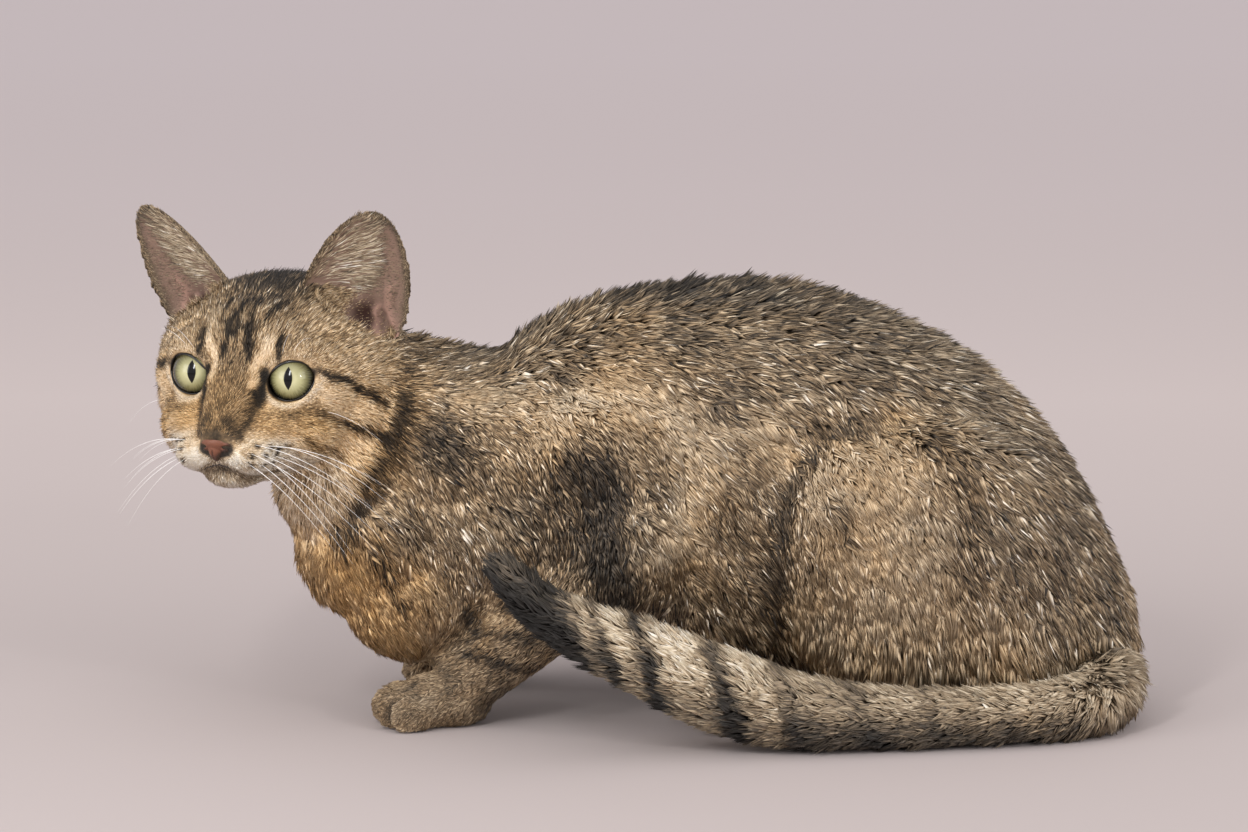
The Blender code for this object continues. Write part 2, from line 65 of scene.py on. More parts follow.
def smoothStep(value, low, high):
    t = np.clip((value - low) / (high - low), 0.0, 1.0)
    return t * t * (3 - 2 * t)


def fadeOut(value, low, high):
    return 1 - smoothStep(value, low, high)


def drawn(values, goal, amount):
    # The values moved part of the way to a goal.
    return values + (goal - values) * amount


# The lie of the coat. Rows in mm: place, direction, length, depth, tone, warmth.
# In the head's frame; rows off the middle are mirrored.
headCoat = [
    (37, 0, -20, -.7, 0, .7, 2.0, .3, .34, .6), (30, 0, -12, -.75, 0, .65, 2.6, .5, .39, .7),
    (22, 0, -2, -.75, 0, .65, 3.0, .8, .42, .6), (14, 0, 7, -.7, 0, .7, 3.6, 1.0, .46, .4),
    (28, 8, -14, -.8, .3, .3, 2.4, .5, .44, .6), (6, 0, 20, -.75, 0, .65, 4.6, 1.4, .56, .3),
    (2, 18, 22, -.7, .2, .65, 5.0, 1.5, .58, .35), (-8, 0, 31, -.9, 0, .4, 6.0, 1.8, .36, .15),
    (-22, 0, 38, -1, 0, .1, 6.0, 1.6, .13, .05), (-45, 0, 41, -1, 0, 0, 7.0, 2.0, .12, .05),
    (-30, 16, 38, -1, .1, .1, 7.0, 1.8, .19, .1), (-28, 27, 33, -.6, .5, .6, 4.5, 1.2, .58, .35),
    (-37, 24, 32, -.7, .5, .5, 4.0, 1.0, .52, .3), (-33, 35, 26, -.7, .6, .3, 4.5, 1.2, .60, .35),
    (-80, 0, 28, -.9, 0, -.4, 9, 2.8, .30, .15),
    (-80, 35, 15, -.9, .1, -.4, 9, 2.8, .36, .2), (8, 25, 12, -.4, .25, .85, 3.0, .5, .58, .35),
    (-8, 38, 14, -.8, .4, .4, 5.0, 1.3, .60, .4), (-20, 46, 10, -.9, .3, .2, 6.0, 1.6, .62, .4),
    (-26, 33, 26, -.8, .3, .4, 4.5, 1.2, .56, .35), (2, 38, -2, -.9, .35, .1, 3.6, .7, .70, .45),
    (21, 17, -17, -.7, .5, -.4, 3.0, .5, .60, .75), (12, 24, -13, -.7, .5, -.45, 3.2, .6, .62, .70),
    (10, 33, -22, -.75, .45, -.35, 4.8, 1.2, .80, .85),
    (-8, 45, -18, -.85, .3, -.3, 5.5, 1.5, .95, .75), (-28, 55, -15, -.85, .2, -.5, 6, 1.8, .72, .55),
    (-20, 48, -38, -.75, .1, -.65, 7, 2.0, .80, .65), (30, 14, -25, -.6, .7, -.2, 1.9, .4, .78, .3),
    (24, 22, -31, -.7, .6, -.3, 2.3, .6, 1.0, .0), (36, 8, -33, -.4, .8, -.4, 1.8, .3, .97, .0),
    (28, 14, -39, -.6, .5, -.6, 2.6, .4, .90, .0), (12, 26, -38, -.8, .35, -.5, 5.6, 1.3, .90, .12),
    (22, 0, -48, -.75, 0, -.65, 2.8, .8, .80, .0), (14, 12, -47, -.8, .2, -.55, 3.4, 1.0, .83, .0),
    (-10, 0, -48, -.95, 0, -.3, 7.0, 2.2, .84, .15), (-15, 30, -47, -.9, .1, -.4, 7, 2.4, .76, .3),
    (-40, 0, -52, -.8, 0, -.6, 10, 3.2, .58, .5),
]
# In the row frame, with y from the plane of the spine; rows off that plane are mirrored.
bodyCoat = [
    (-56, 0, 175, .95, 0, .1, 17, 5.5, .28, .12), (-20, 0, 194, 1, 0, .05, 18, 5.5, .22, .08),
    (30, 0, 201, 1, 0, 0, 18, 6.0, .23, .06), (80, 0, 197, 1, 0, -.1, 18, 6.0, .26, .08),
    (125, 0, 180, .95, 0, -.3, 18, 6.0, .42, .08), (165, 0, 148, .85, 0, -.55, 18, 5.5, .44, .10),
    (200, 0, 115, .6, 0, -.8, 17, 5.5, .40, .12), (222, 0, 75, .3, 0, -.95, 16, 5.0, .44, .15),
    (228, 0, 45, .3, -.3, -.9, 15, 4.5, .54, .3), (-20, 30, 178, .9, .1, -.35, 16, 5.5, .46, .55),
    (40, 42, 175, .9, .1, -.4, 17, 5.5, .43, .25), (100, 42, 168, .85, .1, -.5, 17, 5.5, .40, .2),
    (50, 58, 130, .75, 0, -.65, 16, 5.5, .46, .35), (50, 58, 85, .7, 0, -.7, 15, 5.5, .52, .45),
    (55, 40, 40, .7, -.1, -.6, 15, 5.0, .52, .45), (50, 0, 22, .9, 0, -.2, 14, 4.0, .6, .5),
    (-25, 52, 152, .6, .1, -.75, 13, 4.5, .52, .35), (0, 56, 128, .55, .1, -.8, 12, 4.0, .55, .35),
    (-15, 66, 95, .3, .1, -.95, 12, 4.0, .46, .25), (20, 58, 95, .5, 0, -.85, 14, 4.5, .5, .35),
    (-10, 60, 60, -.3, .1, -.9, 10, 3.0, .42, .25), (-45, 58, 45, -.8, .05, -.55, 7, 2.0, .41, .35),
    (-70, 55, 28, -.85, 0, -.45, 6, 1.6, .37, .3), (-98, 55, 20, -.9, 0, -.35, 3.8, .9, .56, .35),
    (-116, 55, 8, -.8, 0, -.55, 3.0, .6, .58, .35), (100, 58, 138, .35, .1, -.9, 14, 5.0, .58, .42),
    (68, 62, 105, .45, .05, -.85, 13, 5.0, .54, .4), (105, 76, 105, .45, .05, -.88, 15, 5.0, .66, .38),
    (150, 74, 95, .45, 0, -.88, 16, 5.5, .49, .25), (110, 74, 60, .25, 0, -.95, 15, 4.5, .68, .42),
    (150, 70, 40, .2, 0, -.95, 15, 4.5, .60, .35), (190, 50, 85, .5, 0, -.87, 16, 5.5, .42, .18),
    (90, 58, 22, -.9, .05, -.3, 5, 1.3, .5, .35), (45, 56, 12, -.9, 0, -.35, 3.4, .8, .52, .3),
]
# The same in the row frame as it stands, for the neck and chest, which turn with the head.
neckCoat = [
    (-105, -2, 170, .9, .1, .1, 14, 4.5, .34, .2), (-100, -33, 140, .75, 0, -.6, 11, 4.5, .29, .35),
    (-105, -35, 105, .5, 0, -.85, 15, 5.0, .42, .45), (-105, 45, 140, .8, .05, -.55, 14, 4.5, .4, .35),
    (-150, -20, 105, .35, -.1, -.9, 14, 4.5, .68, .6), (-150, -10, 75, .3, -.05, -.95, 16, 5.0, .64, .95),
    (-128, -38, 80, .4, -.1, -.9, 16, 5.0, .65, .95), (-130, 35, 80, .4, .1, -.9, 16, 5.0, .64, .95),
    (-115, -25, 45, .6, 0, -.75, 15, 4.5, .64, .90), (-115, 30, 45, .6, 0, -.75, 15, 4.5, .64, .85),
    (-80, 10, 35, .8, 0, -.4, 13, 4.0, .5, .5), (-70, -36, 110, .6, 0, -.75, 15, 5.0, .42, .35),
]
# How softly the rows blend, in mm squared, and how far the locks are cut to the length that shows.
guideForm = {"head": 9.0, "body": 130.0, "bodyLength": 0.78, "headLength": 1.50, "bodyDepth": 0.66}


def curveAlong(line, count):
    # Points spaced evenly in number along a smooth curve through the line's points.
    line = np.asarray(line, float)
    padded = np.vstack([2 * line[0] - line[1], line, 2 * line[-1] - line[-2]])
    spots = np.linspace(0, len(line) - 1 - 1e-6, count)
    i = spots.astype(int)
    f = (spots - i)[:, None]
    a, b, c, d = padded[i], padded[i + 1], padded[i + 2], padded[i + 3]
    bend = (2 * a - 5 * b + 4 * c - d) * f ** 2 + (3 * b - a - 3 * c + d) * f ** 3
    return 0.5 * (2 * b + (c - a) * f + bend)


def mirroredRows(rows, middle):
    # Rows off the middle plane, and the same across it.
    found = []
    for row in rows:
        row = list(row)
        sides = (1,) if row[1] == 0 else (1, -1)
        for side in sides:
            found.append([row[0], row[1] * side + middle, row[2], row[3], row[4] * side, *row[5:]])
    return np.array(found)


def guideTable():
    # All guide rows in the row frame, and how softly each blends.
    head = mirroredRows(headCoat, 0)
    head[:, :3] = fromHead(head[:, :3] * mm)
    head[:, 3:6] = head[:, 3:6] @ headTurn.T
    head[:, 6] *= guideForm["headLength"]
    body = np.vstack([mirroredRows(bodyCoat, spineY / mm), np.array(neckCoat, float)])
    body[:, :3] *= mm
    body[:, 6] *= guideForm["bodyLength"]
    body[:, 7] *= guideForm["bodyDepth"]
    rows = np.vstack([head, body])
    rows[:, 3:6] = unit(rows[:, 3:6])
    soft = np.where(np.arange(len(rows)) < len(head), guideForm["head"], guideForm["body"])
    return rows, soft


def readGuides(points, rows, soft, batch=20000):
    # Blends the nearest guide rows at each point.
    values = np.zeros((len(points), rows.shape[1] - 3))
    for start in range(0, len(points), batch):
        part = points[start:start + batch]
        gap = ((part[:, None, :] - rows[None, :, :3]) ** 2).sum(-1) * 1e6 + soft   # in mm squared
        weight = 1.0 / gap ** 2
        weight /= weight.sum(1, keepdims=True)
        values[start:start + batch] = weight @ rows[:, 3:]
    return values


# The markings, and the painted shadow behind the cheeks. Each: tone it pulls to, how much, half width and
# softness in mm, places in mm.
headMarks = [                                     # mirrored where the last value is True
    (.04, 1, 1.1, 1.2, [(5, -18.6, 18), (9.5, -18.9, 9)], True),
    (.04, 1, 1.3, 1.2, [(-10, -14, 33), (-3.3, -12.2, 29), (7.5, -8.3, 21), (11, -6, 15),
                        (13, -6.6, 9)], True),
    (.04, .95, 1.0, 1.0, [(-6, -2, 32), (7, -2, 23.7), (10.7, -.6, 17)], False),
    (.04, .95, .9, 1.0, [(-8, 2.6, 33), (.3, 2.4, 29.9), (5, 4, 25), (10.8, 4.8, 15.5)], True),
    (.82, .55, 1.2, 1.2, [(-2, 7.2, 30.5), (6, 8.6, 23), (11, 8.4, 15)], True),
    (.78, .45, 1.2, 1.2, [(0, 15.5, 27.5), (6, 16, 19.5), (10, 15, 12)], True),
    (.03, 1, 1.5, 1.0, [(4.2, 34.2, 4.5), (-.6, 42.0, 1.5), (-14, 49, -6), (-26, 55, -11)], True),
    (.05, .95, 1.3, 1.6, [(-4, 41, -18), (-14, 44, -22), (-22.6, 51, -24.5), (-30, 55, -27)], True),
    (.18, .60, 1.2, 2.0, [(8, 36, -13), (-2, 42, -16)], True),
    (.98, .90, 3.2, 2.4, [(1, 40, -8), (-7, 43, -14), (-15, 47.5, -15), (-22, 53, -18)], True),
    (.88, .50, 2.4, 2.4, [(4, 37, -26), (-10, 43, -30), (-20, 48, -34)], True),
    # painted shadow: the dark line behind each cheek, where the cheek stands in front of the neck
    (.06, .85, 2.0, 3.0, [(-34, 61, -10), (-30, 60, -20), (-27, 57, -30), (-24, 54, -37),
                        (-17, 48, -46)], True),
    (.10, .60, 1.2, 1.5, [(15, 33, -25), (4, 38, -31), (-12, 41, -36)], True),
    (.10, .70, 1.5, 1.8, [(33, 4.5, -16), (34, 7.5, -20), (31.5, 9.5, -23)], True),
    (.30, .62, 2.2, 3.4, [(32, 0, -41), (31, 5, -42.5), (25, 11, -44), (16, 17, -43)], True),
    (.34, .60, 1.6, 2.6, [(17.5, 22.9, -13.6), (13.8, 29, -13.8), (5.6, 33.3, -11.6)], True),
    (.40, .45, 1.3, 2.2, [(13.8, 32.4, -18.5), (5.4, 37.7, -17.2)], True),
]
tearMarks = [                                     # laid over the pale rings round the eyes
    (.02, 1, 3.1, 1.2, [(11.5, 13.4, 2), (15.1, 12.8, -3.8), (18.4, 12.2, -8.2)], True),
    (.14, .75, 1.4, 1.8, [(18.4, 12.2, -8.2), (25.3, 10.7, -16.8), (29.5, 9.4, -21.5)], True),
    (.97, 1, 2.0, 1.2, [(6.5, 14.6, 14.6), (10.4, 11.4, 9.0), (13.6, 9.4, 3.2), (16.4, 9.2, -1.5)], True),
]
bodyMarks = [                                     # in the row frame, mirrored about the spine's plane
    (.76, .92, 8, 8, [(-43, -32, 144), (-30, -29, 153), (-10, -29, 155), (9, -31, 150), (22, -36, 135),
                       (26, -39, 117), (20, -42, 94)], True),
    (.70, .70, 8, 10, [(20, -42, 94), (0, -56, 83)], True),
    # a dark patch from the shoulder down to the elbow, on both sides
    (.13, .80, 8, 9, [(-30, -44, 124), (-19, -46, 118), (-20, -48, 98), (-14, -55, 76),
                       (-8, -57, 62)], True),
    (.22, .45, 9, 10, [(-37, -43, 112), (-37, -43, 98), (-54, -41, 90)], True),
    (.78, .75, 6, 7, [(46, -33, 146), (54, -34, 142), (62, -37, 132)], True),
    (.74, .85, 11, 12, [(78, -44, 118), (84, -43, 131), (100, -38, 137), (117, -44, 132)], True),
    (.71, .65, 14, 15, [(112, -56, 108), (117, -59, 88), (100, -56, 62), (78, -40, 52)], True),
    (.12, .55, 2.5, 4, [(86, -54, 112), (90, -55, 106), (92, -55, 98)], True),
    (.10, .62, 2.5, 7, [(97, -36, 145), (88, -36, 144), (78, -38, 139), (69, -44, 122), (62, -44, 100),
                        (60, -38, 72), (56, -32, 52)], True),
    (.16, .35, 3, 9, [(132, -41, 143), (116, -38, 145), (97, -36, 147)], True),
    (.16, .50, 4, 6, [(130, -42, 138), (146, -50, 122), (150, -56, 100), (143, -57, 74)], True),
    (.16, .38, 3, 6, [(27, -34, 152), (35, -35, 140), (38, -39, 118), (33, -41, 94)], True),
    (.72, .60, 7, 8, [(-86, -26, 152), (-74, -26, 152), (-56, -24, 154)], False),
    (.20, .55, 6, 8, [(-96, -32, 141), (-90, -32, 134), (-92, -34, 120)], False),
    (.64, .50, 8, 10, [(-104, -33, 116), (-92, -34, 104), (-76, -36, 100)], False),
    (.08, .70, 3.5, 5, [(-126, -38, 122), (-133, -39, 104), (-140, -36, 92)], False),
    (.10, .50, 2.5, 3.5, [(-128, -38, 92), (-120, -38, 76), (-112, -36, 62)], False),
    (.12, .75, 1.6, 2.4, [(-80, -33, 36), (-63, -38, 33), (-46, -36, 29.5)], True),
    (.12, .72, 1.6, 2.4, [(-75, -27, 45), (-61, -42, 48), (-48, -46, 44)], True),
    (.08, .80, 1.8, 2.2, [(-79, -29, 57), (-75, -26, 51)], True),
    (.08, .75, 1.8, 2.4, [(-62, -39, 60), (-48, -47, 57)], True),
    (.18, .40, 1.5, 2.6, [(-96, -26, 30), (-90, -34, 27), (-86, -42, 20)], True),
    (.74, .50, 3, 4, [(-72, -31, 52), (-60, -43, 54)], True),
]
# painted shadow: the dark line behind the cheek, cast on the neck
cheekShadow = [                                   # in the row frame, over head and neck alike
    (.14, .60, 2.0, 5.5, [(-109, -22, 168), (-111, -32, 145), (-116, -36, 124), (-130, -40, 108)], False),
]


def lineDistance(points, line, reach=30):
    # How far each point lies from a line through several places, where it is within reach of it.
    best = np.full(len(points), 1e9)
    line = np.asarray(line, float)
    if len(line) == 1:
        line = np.vstack([line, line + 1e-6])
    near = np.where(((points > line.min(0) - reach) & (points < line.max(0) + reach)).all(1))[0]
    some = points[near]
    found = np.full(len(some), 1e9)
    for a, b in zip(line[:-1], line[1:]):
        along = b - a
        t = np.clip(((some - a) @ along) / max(along @ along, 1e-9), 0, 1)
        found = np.minimum(found, np.linalg.norm(some - (a + t[:, None] * along), axis=1))
    best[near] = found
    return best


def laidOn(points, line):
    # The line's places moved to the nearest points of the surface.
    path = curveAlong(line, 4 * len(line)) if len(line) > 1 else np.array(line, float)
    return np.array([points[((points - place) ** 2).sum(1).argmin()] for place in path])


def applyMarks(tone, points, marks, middle):
    for goal, amount, half, soft, line, twin in marks:
        for side in (1, -1) if twin else (1,):
            places = np.array(line, float)
            places[:, 1] = (places[:, 1] - middle) * side + middle
            gap = lineDistance(points, laidOn(points, places))
            tone = drawn(tone, goal, amount * fadeOut(gap, half * 0.5, half + soft))
    return tone


# Reading and writing meshes.
def readMesh(mesh):
    count = len(mesh.vertices)
    points = np.empty(count * 3)
    mesh.vertices.foreach_get("co", points)
    mesh.calc_loop_triangles()
    corners = np.empty(len(mesh.loop_triangles) * 3, dtype=np.int32)
    mesh.loop_triangles.foreach_get("vertices", corners)
    return points.reshape(-1, 3), corners.reshape(-1, 3)


def pointNormals(points, faces):
    a, b, c = points[faces[:, 0]], points[faces[:, 1]], points[faces[:, 2]]
    flat = np.cross(b - a, c - a)
    found = np.zeros_like(points)
    for k in range(3):
        for axis in range(3):
            found[:, axis] += np.bincount(faces[:, k], flat[:, axis], len(points))
    return unit(found)


def blurred(values, faces, rounds):
    # Evens out a value over the mesh, each point taking the mean of its neighbours.
    ends = np.vstack([faces[:, (0, 1)], faces[:, (1, 2)], faces[:, (2, 0)]])
    count = len(values)
    share = np.bincount(ends.ravel(), minlength=count)
    for _ in range(rounds):
        total = np.bincount(ends[:, 0], values[ends[:, 1]], count)
        total = total + np.bincount(ends[:, 1], values[ends[:, 0]], count)
        values = 0.5 * values + 0.5 * total / np.maximum(share, 1)
    return values


def makeMesh(name, points, faces):
    mesh = bpy.data.meshes.new(name)
    mesh.vertices.add(len(points))
    mesh.vertices.foreach_set("co", np.ascontiguousarray(points, dtype=np.float32).ravel())
    mesh.loops.add(faces.size)
    mesh.loops.foreach_set("vertex_index", np.ascontiguousarray(faces, dtype=np.int32).ravel())
    mesh.polygons.add(len(faces))
    mesh.polygons.foreach_set("loop_start", np.arange(0, faces.size, faces.shape[1], dtype=np.int32))
    mesh.update(calc_edges=True)
    mesh.polygons.foreach_set("use_smooth", np.ones(len(faces), bool))
    mesh.validate()
    obj = bpy.data.objects.new(name, mesh)
    bpy.context.collection.objects.link(obj)
    return obj


def setAttribute(obj, name, values):
    layer = obj.data.attributes.new(name, "FLOAT", "POINT")
    layer.data.foreach_set("value", np.ascontiguousarray(values, dtype=np.float32))


def only(obj):
    bpy.ops.object.select_all(action="DESELECT")
    obj.hide_set(False)
    obj.select_set(True)
    bpy.context.view_layer.objects.active = obj


def applyAll(obj):
    only(obj)
    for modifier in list(obj.modifiers):
        bpy.ops.object.modifier_apply(modifier=modifier.name)


def movePoints(obj, points):
    obj.data.vertices.foreach_set("co", np.ascontiguousarray(points, dtype=np.float32).ravel())
    obj.data.update()


def joined(parts, name):
    bpy.ops.object.select_all(action="DESELECT")
    for part in parts:
        part.select_set(True)
    bpy.context.view_layer.objects.active = parts[0]
    bpy.ops.object.join()
    whole = bpy.context.active_object
    whole.name = name
    whole.data.materials.clear()
    return whole


def fuse(obj, voxel, rounds):
    # Makes one closed surface of overlapping forms and evens it out.
    remesh = obj.modifiers.new("fuse", "REMESH")
    remesh.mode = "VOXEL"
    remesh.voxel_size = voxel
    even = obj.modifiers.new("even", "SMOOTH")
    even.iterations = rounds
    applyAll(obj)


def stacked(meshes):
    # The points and faces of several meshes as one.
    points, faces, start = [], [], 0
    for somePoints, someFaces in meshes:
        points.append(somePoints)
        faces.append(someFaces + start)
        start += len(somePoints)
    return np.vstack(points), np.vstack(faces)


# Materials.


def fill(tree, node, inputs):
    # Sets a node's inputs: a socket by a link, a colour or a number as it is.
    for key, value in inputs.items():
        if isinstance(value, bpy.types.NodeSocket):
            tree.links.new(value, node.inputs[key])
        else:
            node.inputs[key].default_value = (*value, 1) if isinstance(value, tuple) else value


def addNode(tree, kind, inputs=None, **settings):
    node = tree.nodes.new(kind)
    for key, value in settings.items():
        setattr(node, key, value)
    fill(tree, node, inputs or {})
    return node


def newMaterial(name, roughness):
    material = bpy.data.materials.new(name)
    material.use_nodes = True
    shader = material.node_tree.nodes["Principled BSDF"]
    shader.inputs["Roughness"].default_value = roughness
    return material, material.node_tree, shader


def mathNode(tree, operation, a, b=0.0, c=0.0, clamp=False):
    return addNode(tree, "ShaderNodeMath", {0: a, 1: b, 2: c}, operation=operation,
                   use_clamp=clamp).outputs[0]


def mixColours(tree, factor, a, b, blend="MIX"):
    node = addNode(tree, "ShaderNodeMix", {0: factor, 6: a, 7: b}, data_type="RGBA", blend_type=blend)
    return node.outputs[2]


def rampNode(tree, value, stops):
    node = addNode(tree, "ShaderNodeValToRGB", {0: value})
    while len(node.color_ramp.elements) < len(stops):
        node.color_ramp.elements.new(0.5)
    for element, (place, colour) in zip(node.color_ramp.elements, stops):
        element.position = place
        element.color = (*colour, 1)
    return node.outputs[0]


def readAttribute(tree, name):
    return addNode(tree, "ShaderNodeAttribute", attribute_name=name).outputs["Fac"]


def objectPlace(tree):
    return addNode(tree, "ShaderNodeTexCoord").outputs["Object"]


def addBump(tree, shader, height, strength, distance):
    bump = addNode(tree, "ShaderNodeBump", {"Strength": strength, "Distance": distance, "Height": height})
    fill(tree, shader, {"Normal": bump.outputs[0]})


def newGroup(name, inputs, outputs):
    # A node group with named sockets. Each row: name, kind and, for a number, its value.
    tree = bpy.data.node_groups.new(name, "ShaderNodeTree")
    for rows, way in ((inputs, "INPUT"), (outputs, "OUTPUT")):
        for label, kind, *value in rows:
            socket = tree.interface.new_socket(name=label, in_out=way, socket_type="NodeSocket" + kind)
            if value:
                socket.default_value = value[0]
    return tree, addNode(tree, "NodeGroupInput").outputs, addNode(tree, "NodeGroupOutput")


coatColours = {
    "tones": [(0.0, (0.012, 0.010, 0.009)), (0.20, (0.045, 0.038, 0.031)), (0.42, (0.165, 0.128, 0.090)),
              (0.62, (0.410, 0.312, 0.205)), (0.82, (0.720, 0.610, 0.450)), (1.0, (0.930, 0.880, 0.790))],
    # fold is a painted highlight on the ears' folds; pit is painted shade deep in their hollows
    "warm": (1.10, 0.84, 0.50), "flesh": (0.290, 0.190, 0.145), "fold": (0.50, 0.300, 0.235),
    "pit": (0.048, 0.022, 0.017), "bandLift": 0.36, "bandMiddle": 0.45,
}


def coatGroup():
    # Skin and coat share these colours: tone along the ramp, tinted by warmth.
    tree, given, result = newGroup("tabbyColour", [("Tone", "Float", 0.5), ("Warmth", "Float", 0.3),
                                                   ("Along", "Float", 0.4)], [("Colour", "Color")])
    along = mathNode(tree, "SUBTRACT", given["Along"], coatColours["bandMiddle"])
    tone = mathNode(tree, "MULTIPLY_ADD", along, coatColours["bandLift"], given["Tone"], clamp=True)
    ramp = rampNode(tree, tone, coatColours["tones"])
    warm = mixColours(tree, 1.0, ramp, coatColours["warm"], "MULTIPLY")
    fill(tree, result, {"Colour": mixColours(tree, given["Warmth"], ramp, warm)})
    return tree


def grainGroup():
    # A fine mottle: Shade darkens and lightens a colour, Height drives a bump.
    tree, given, result = newGroup("fineGrain", [("Place", "Vector"), ("Scale", "Float", 900.0),
                                                 ("Amount", "Float", 0.2)],
                                   [("Shade", "Float"), ("Height", "Float")])
    inputs = {"Vector": given["Place"], "Scale": given["Scale"], "Detail": 4}
    grain = addNode(tree, "ShaderNodeTexNoise", inputs).outputs[0]
    centred = mathNode(tree, "SUBTRACT", grain, 0.5)
    fill(tree, result, {"Shade": mathNode(tree, "MULTIPLY_ADD", centred, given["Amount"], 1.0),
                        "Height": grain})
    return tree


def addGrain(tree, shader, scale, amount, strength, distance):
    # Places the grain in a material and gives it its bump.
    inputs = {"Place": objectPlace(tree), "Scale": scale, "Amount": amount}
    grain = addNode(tree, "ShaderNodeGroup", inputs, node_tree=grainNodes).outputs
    addBump(tree, shader, grain["Height"], strength, distance)
    return grain


def shadedMaterial(name, roughness, colour, scale, amount, distance, gloss=0.0):
    # A moist or horny surface: one colour, mottled by the grain.
    material, tree, shader = newMaterial(name, roughness)
    grain = addGrain(tree, shader, scale, amount, 0.3, distance)
    shades = addNode(tree, "ShaderNodeCombineColor", {i: grain["Shade"] for i in range(3)})
    colour = mixColours(tree, 1.0, colour, shades.outputs[0], "MULTIPLY")
    fill(tree, shader, {"Base Color": colour, "Coat Weight": gloss})
    return material


def coatMaterial(group):
    material, tree, shader = newMaterial("coat", 0.62)
    inputs = {name: readAttribute(tree, name.lower()) for name in ("Tone", "Warmth", "Along")}
    node = addNode(tree, "ShaderNodeGroup", inputs, node_tree=group)
    fill(tree, shader, {"Base Color": node.outputs["Colour"], "Specular IOR Level": 0.35})
    return material


def skinMaterial(group):
    # The coat's colours darkened as painted shade under the fur, and bare flesh in the ears, with a painted
    # highlight on the folds and painted shade in the hollows.
    material, tree, shader = newMaterial("skin", 0.7)
    grain = addGrain(tree, shader, 900, 0.3, 0.4, 0.0006)
    # painted shade: the skin beneath the coat is darker than the coat's own colours
    furShadedTone = mathNode(tree, "SUBTRACT", readAttribute(tree, "tone"), 0.22)
    tone = mathNode(tree, "MULTIPLY_ADD", grain["Height"], 0.34, furShadedTone)
    inputs = {"Tone": tone, "Warmth": readAttribute(tree, "warmth")}
    colour = addNode(tree, "ShaderNodeGroup", inputs, node_tree=group).outputs["Colour"]
    # bare flesh; on the ear folds a paler pink as painted highlight; in the hollows dark as painted shade
    for attribute, name in (("bare", "flesh"), ("glow", "fold"), ("sunk", "pit")):
        colour = mixColours(tree, readAttribute(tree, attribute), colour, coatColours[name])
    fill(tree, shader, {"Base Color": colour, "Specular IOR Level": 0.25})
    return material


# The skin.
fleshNodes = ["torso", "neck", "head", "nose", "ear_left", "ear_right", "foreleg_left", "foreleg_right",
              "forepaw_left", "forepaw_right", "hindleg_left", "hindleg_right", "hindfoot_left",
              "hindfoot_right", "tail_base", "tail_middle", "tail_tip"]
skinForm = {"voxel": 0.0013, "rounds": 5, "faces": 140000, "close": 0.00028, "closeEar": 0.0004,
            "weld": 0.00002}


def cadFaces():
    # The flesh's own faces as one tree, with the node that each face belongs to.
    meshes = [readMesh(bpy.data.objects[name].data) for name in fleshNodes]
    points, faces = stacked(meshes)
    tree = BVHTree.FromPolygons([Vector(p) for p in points], faces.tolist())
    return tree, np.repeat(np.arange(len(meshes)), [len(some) for _, some in meshes])


def skinShell():
    # Copies of the flesh nodes, grown until they overlap, fused into one closed skin.
    copies = []
    for name in fleshNodes:
        only(bpy.data.objects[name])
        bpy.ops.object.duplicate()
        piece = bpy.context.active_object
        bpy.ops.object.mode_set(mode="EDIT")
        bpy.ops.mesh.select_all(action="SELECT")
        bpy.ops.mesh.remove_doubles(threshold=skinForm["weld"])
        bpy.ops.object.mode_set(mode="OBJECT")
        swell = piece.modifiers.new("swell", "DISPLACE")
        swell.mid_level = 0
        swell.strength = skinForm["closeEar"] if "ear" in name else skinForm["close"]
        applyAll(piece)
        copies.append(piece)
    skin = joined(copies, "skin")
    fuse(skin, skinForm["voxel"], skinForm["rounds"])
    thin = skin.modifiers.new("thin", "DECIMATE")
    thin.ratio = min(1.0, skinForm["faces"] / (2 * len(skin.data.polygons)))
    thin.use_collapse_triangulate = True
    applyAll(skin)
    return skin


eyeForm = {"apart": 0.0236, "radius": 0.0115, "outward": 12.0, "wide": 0.0102, "tall": 0.0087,
           "slant": 0.14, "gaze": (0.97, 0.165, 0.15), "bulge": 0.03}


def eyeFrames():
    # For each eye: its middle, the way it looks out, across and up, in the head's frame.
    found = []
    for side in (1, -1):
        turn = math.radians(eyeForm["outward"]) * side
        out = np.array([math.cos(turn), math.sin(turn), 0])
        across = np.array([-math.sin(turn), math.cos(turn), 0])
        found.append((side, np.array([0, side * eyeForm["apart"], 0]), out, across))
    return found


tailLine = np.array([                             # the tail's middle line from the rump to the tip
    (0.2017, 0.0201, 0.0440), (0.2162, -0.0049, 0.0260), (0.2137, -0.0339, 0.0165),
    (0.1957, -0.0559, 0.0140), (0.1647, -0.0674, 0.0132), (0.1277, -0.0749, 0.0135),
    (0.0947, -0.0794, 0.0152), (0.0657, -0.0819, 0.0190), (0.0397, -0.0834, 0.0270),
    (0.0177, -0.0849, 0.0360), (-0.0053, -0.0869, 0.0465), (-0.0253, -0.0889, 0.0560),
    (-0.0453, -0.0904, 0.0680), (-0.0603, -0.0914, 0.0830), (-0.0660, -0.0919, 0.0895),
])
# under is painted shade on the tail's underside
tailForm = {"hair": 10.0, "depth": 3.8, "tone": 0.50, "under": 0.26, "soft": 2.2, "warmth": 0.03,
            "rootLie": (0.10, 0.10, -1.0), "tuck": 0.002}
tailRings = [                                     # by x in mm: from, to, tone, how much
    (-90, -22, .22, .92), (-20, -14, .70, .70), (-13, -9, .20, .7), (-7, 3, .82, .8), (5, 11, .18, .9),
    (13, 36, .79, .8), (38, 47, .20, .75), (49, 66, .74, .65), (68, 76, .24, .6), (80, 98, .62, .5),
    (101, 110, .30, .5), (114, 130, .60, .4), (134, 142, .32, .4), (168, 176, .34, .4),
]


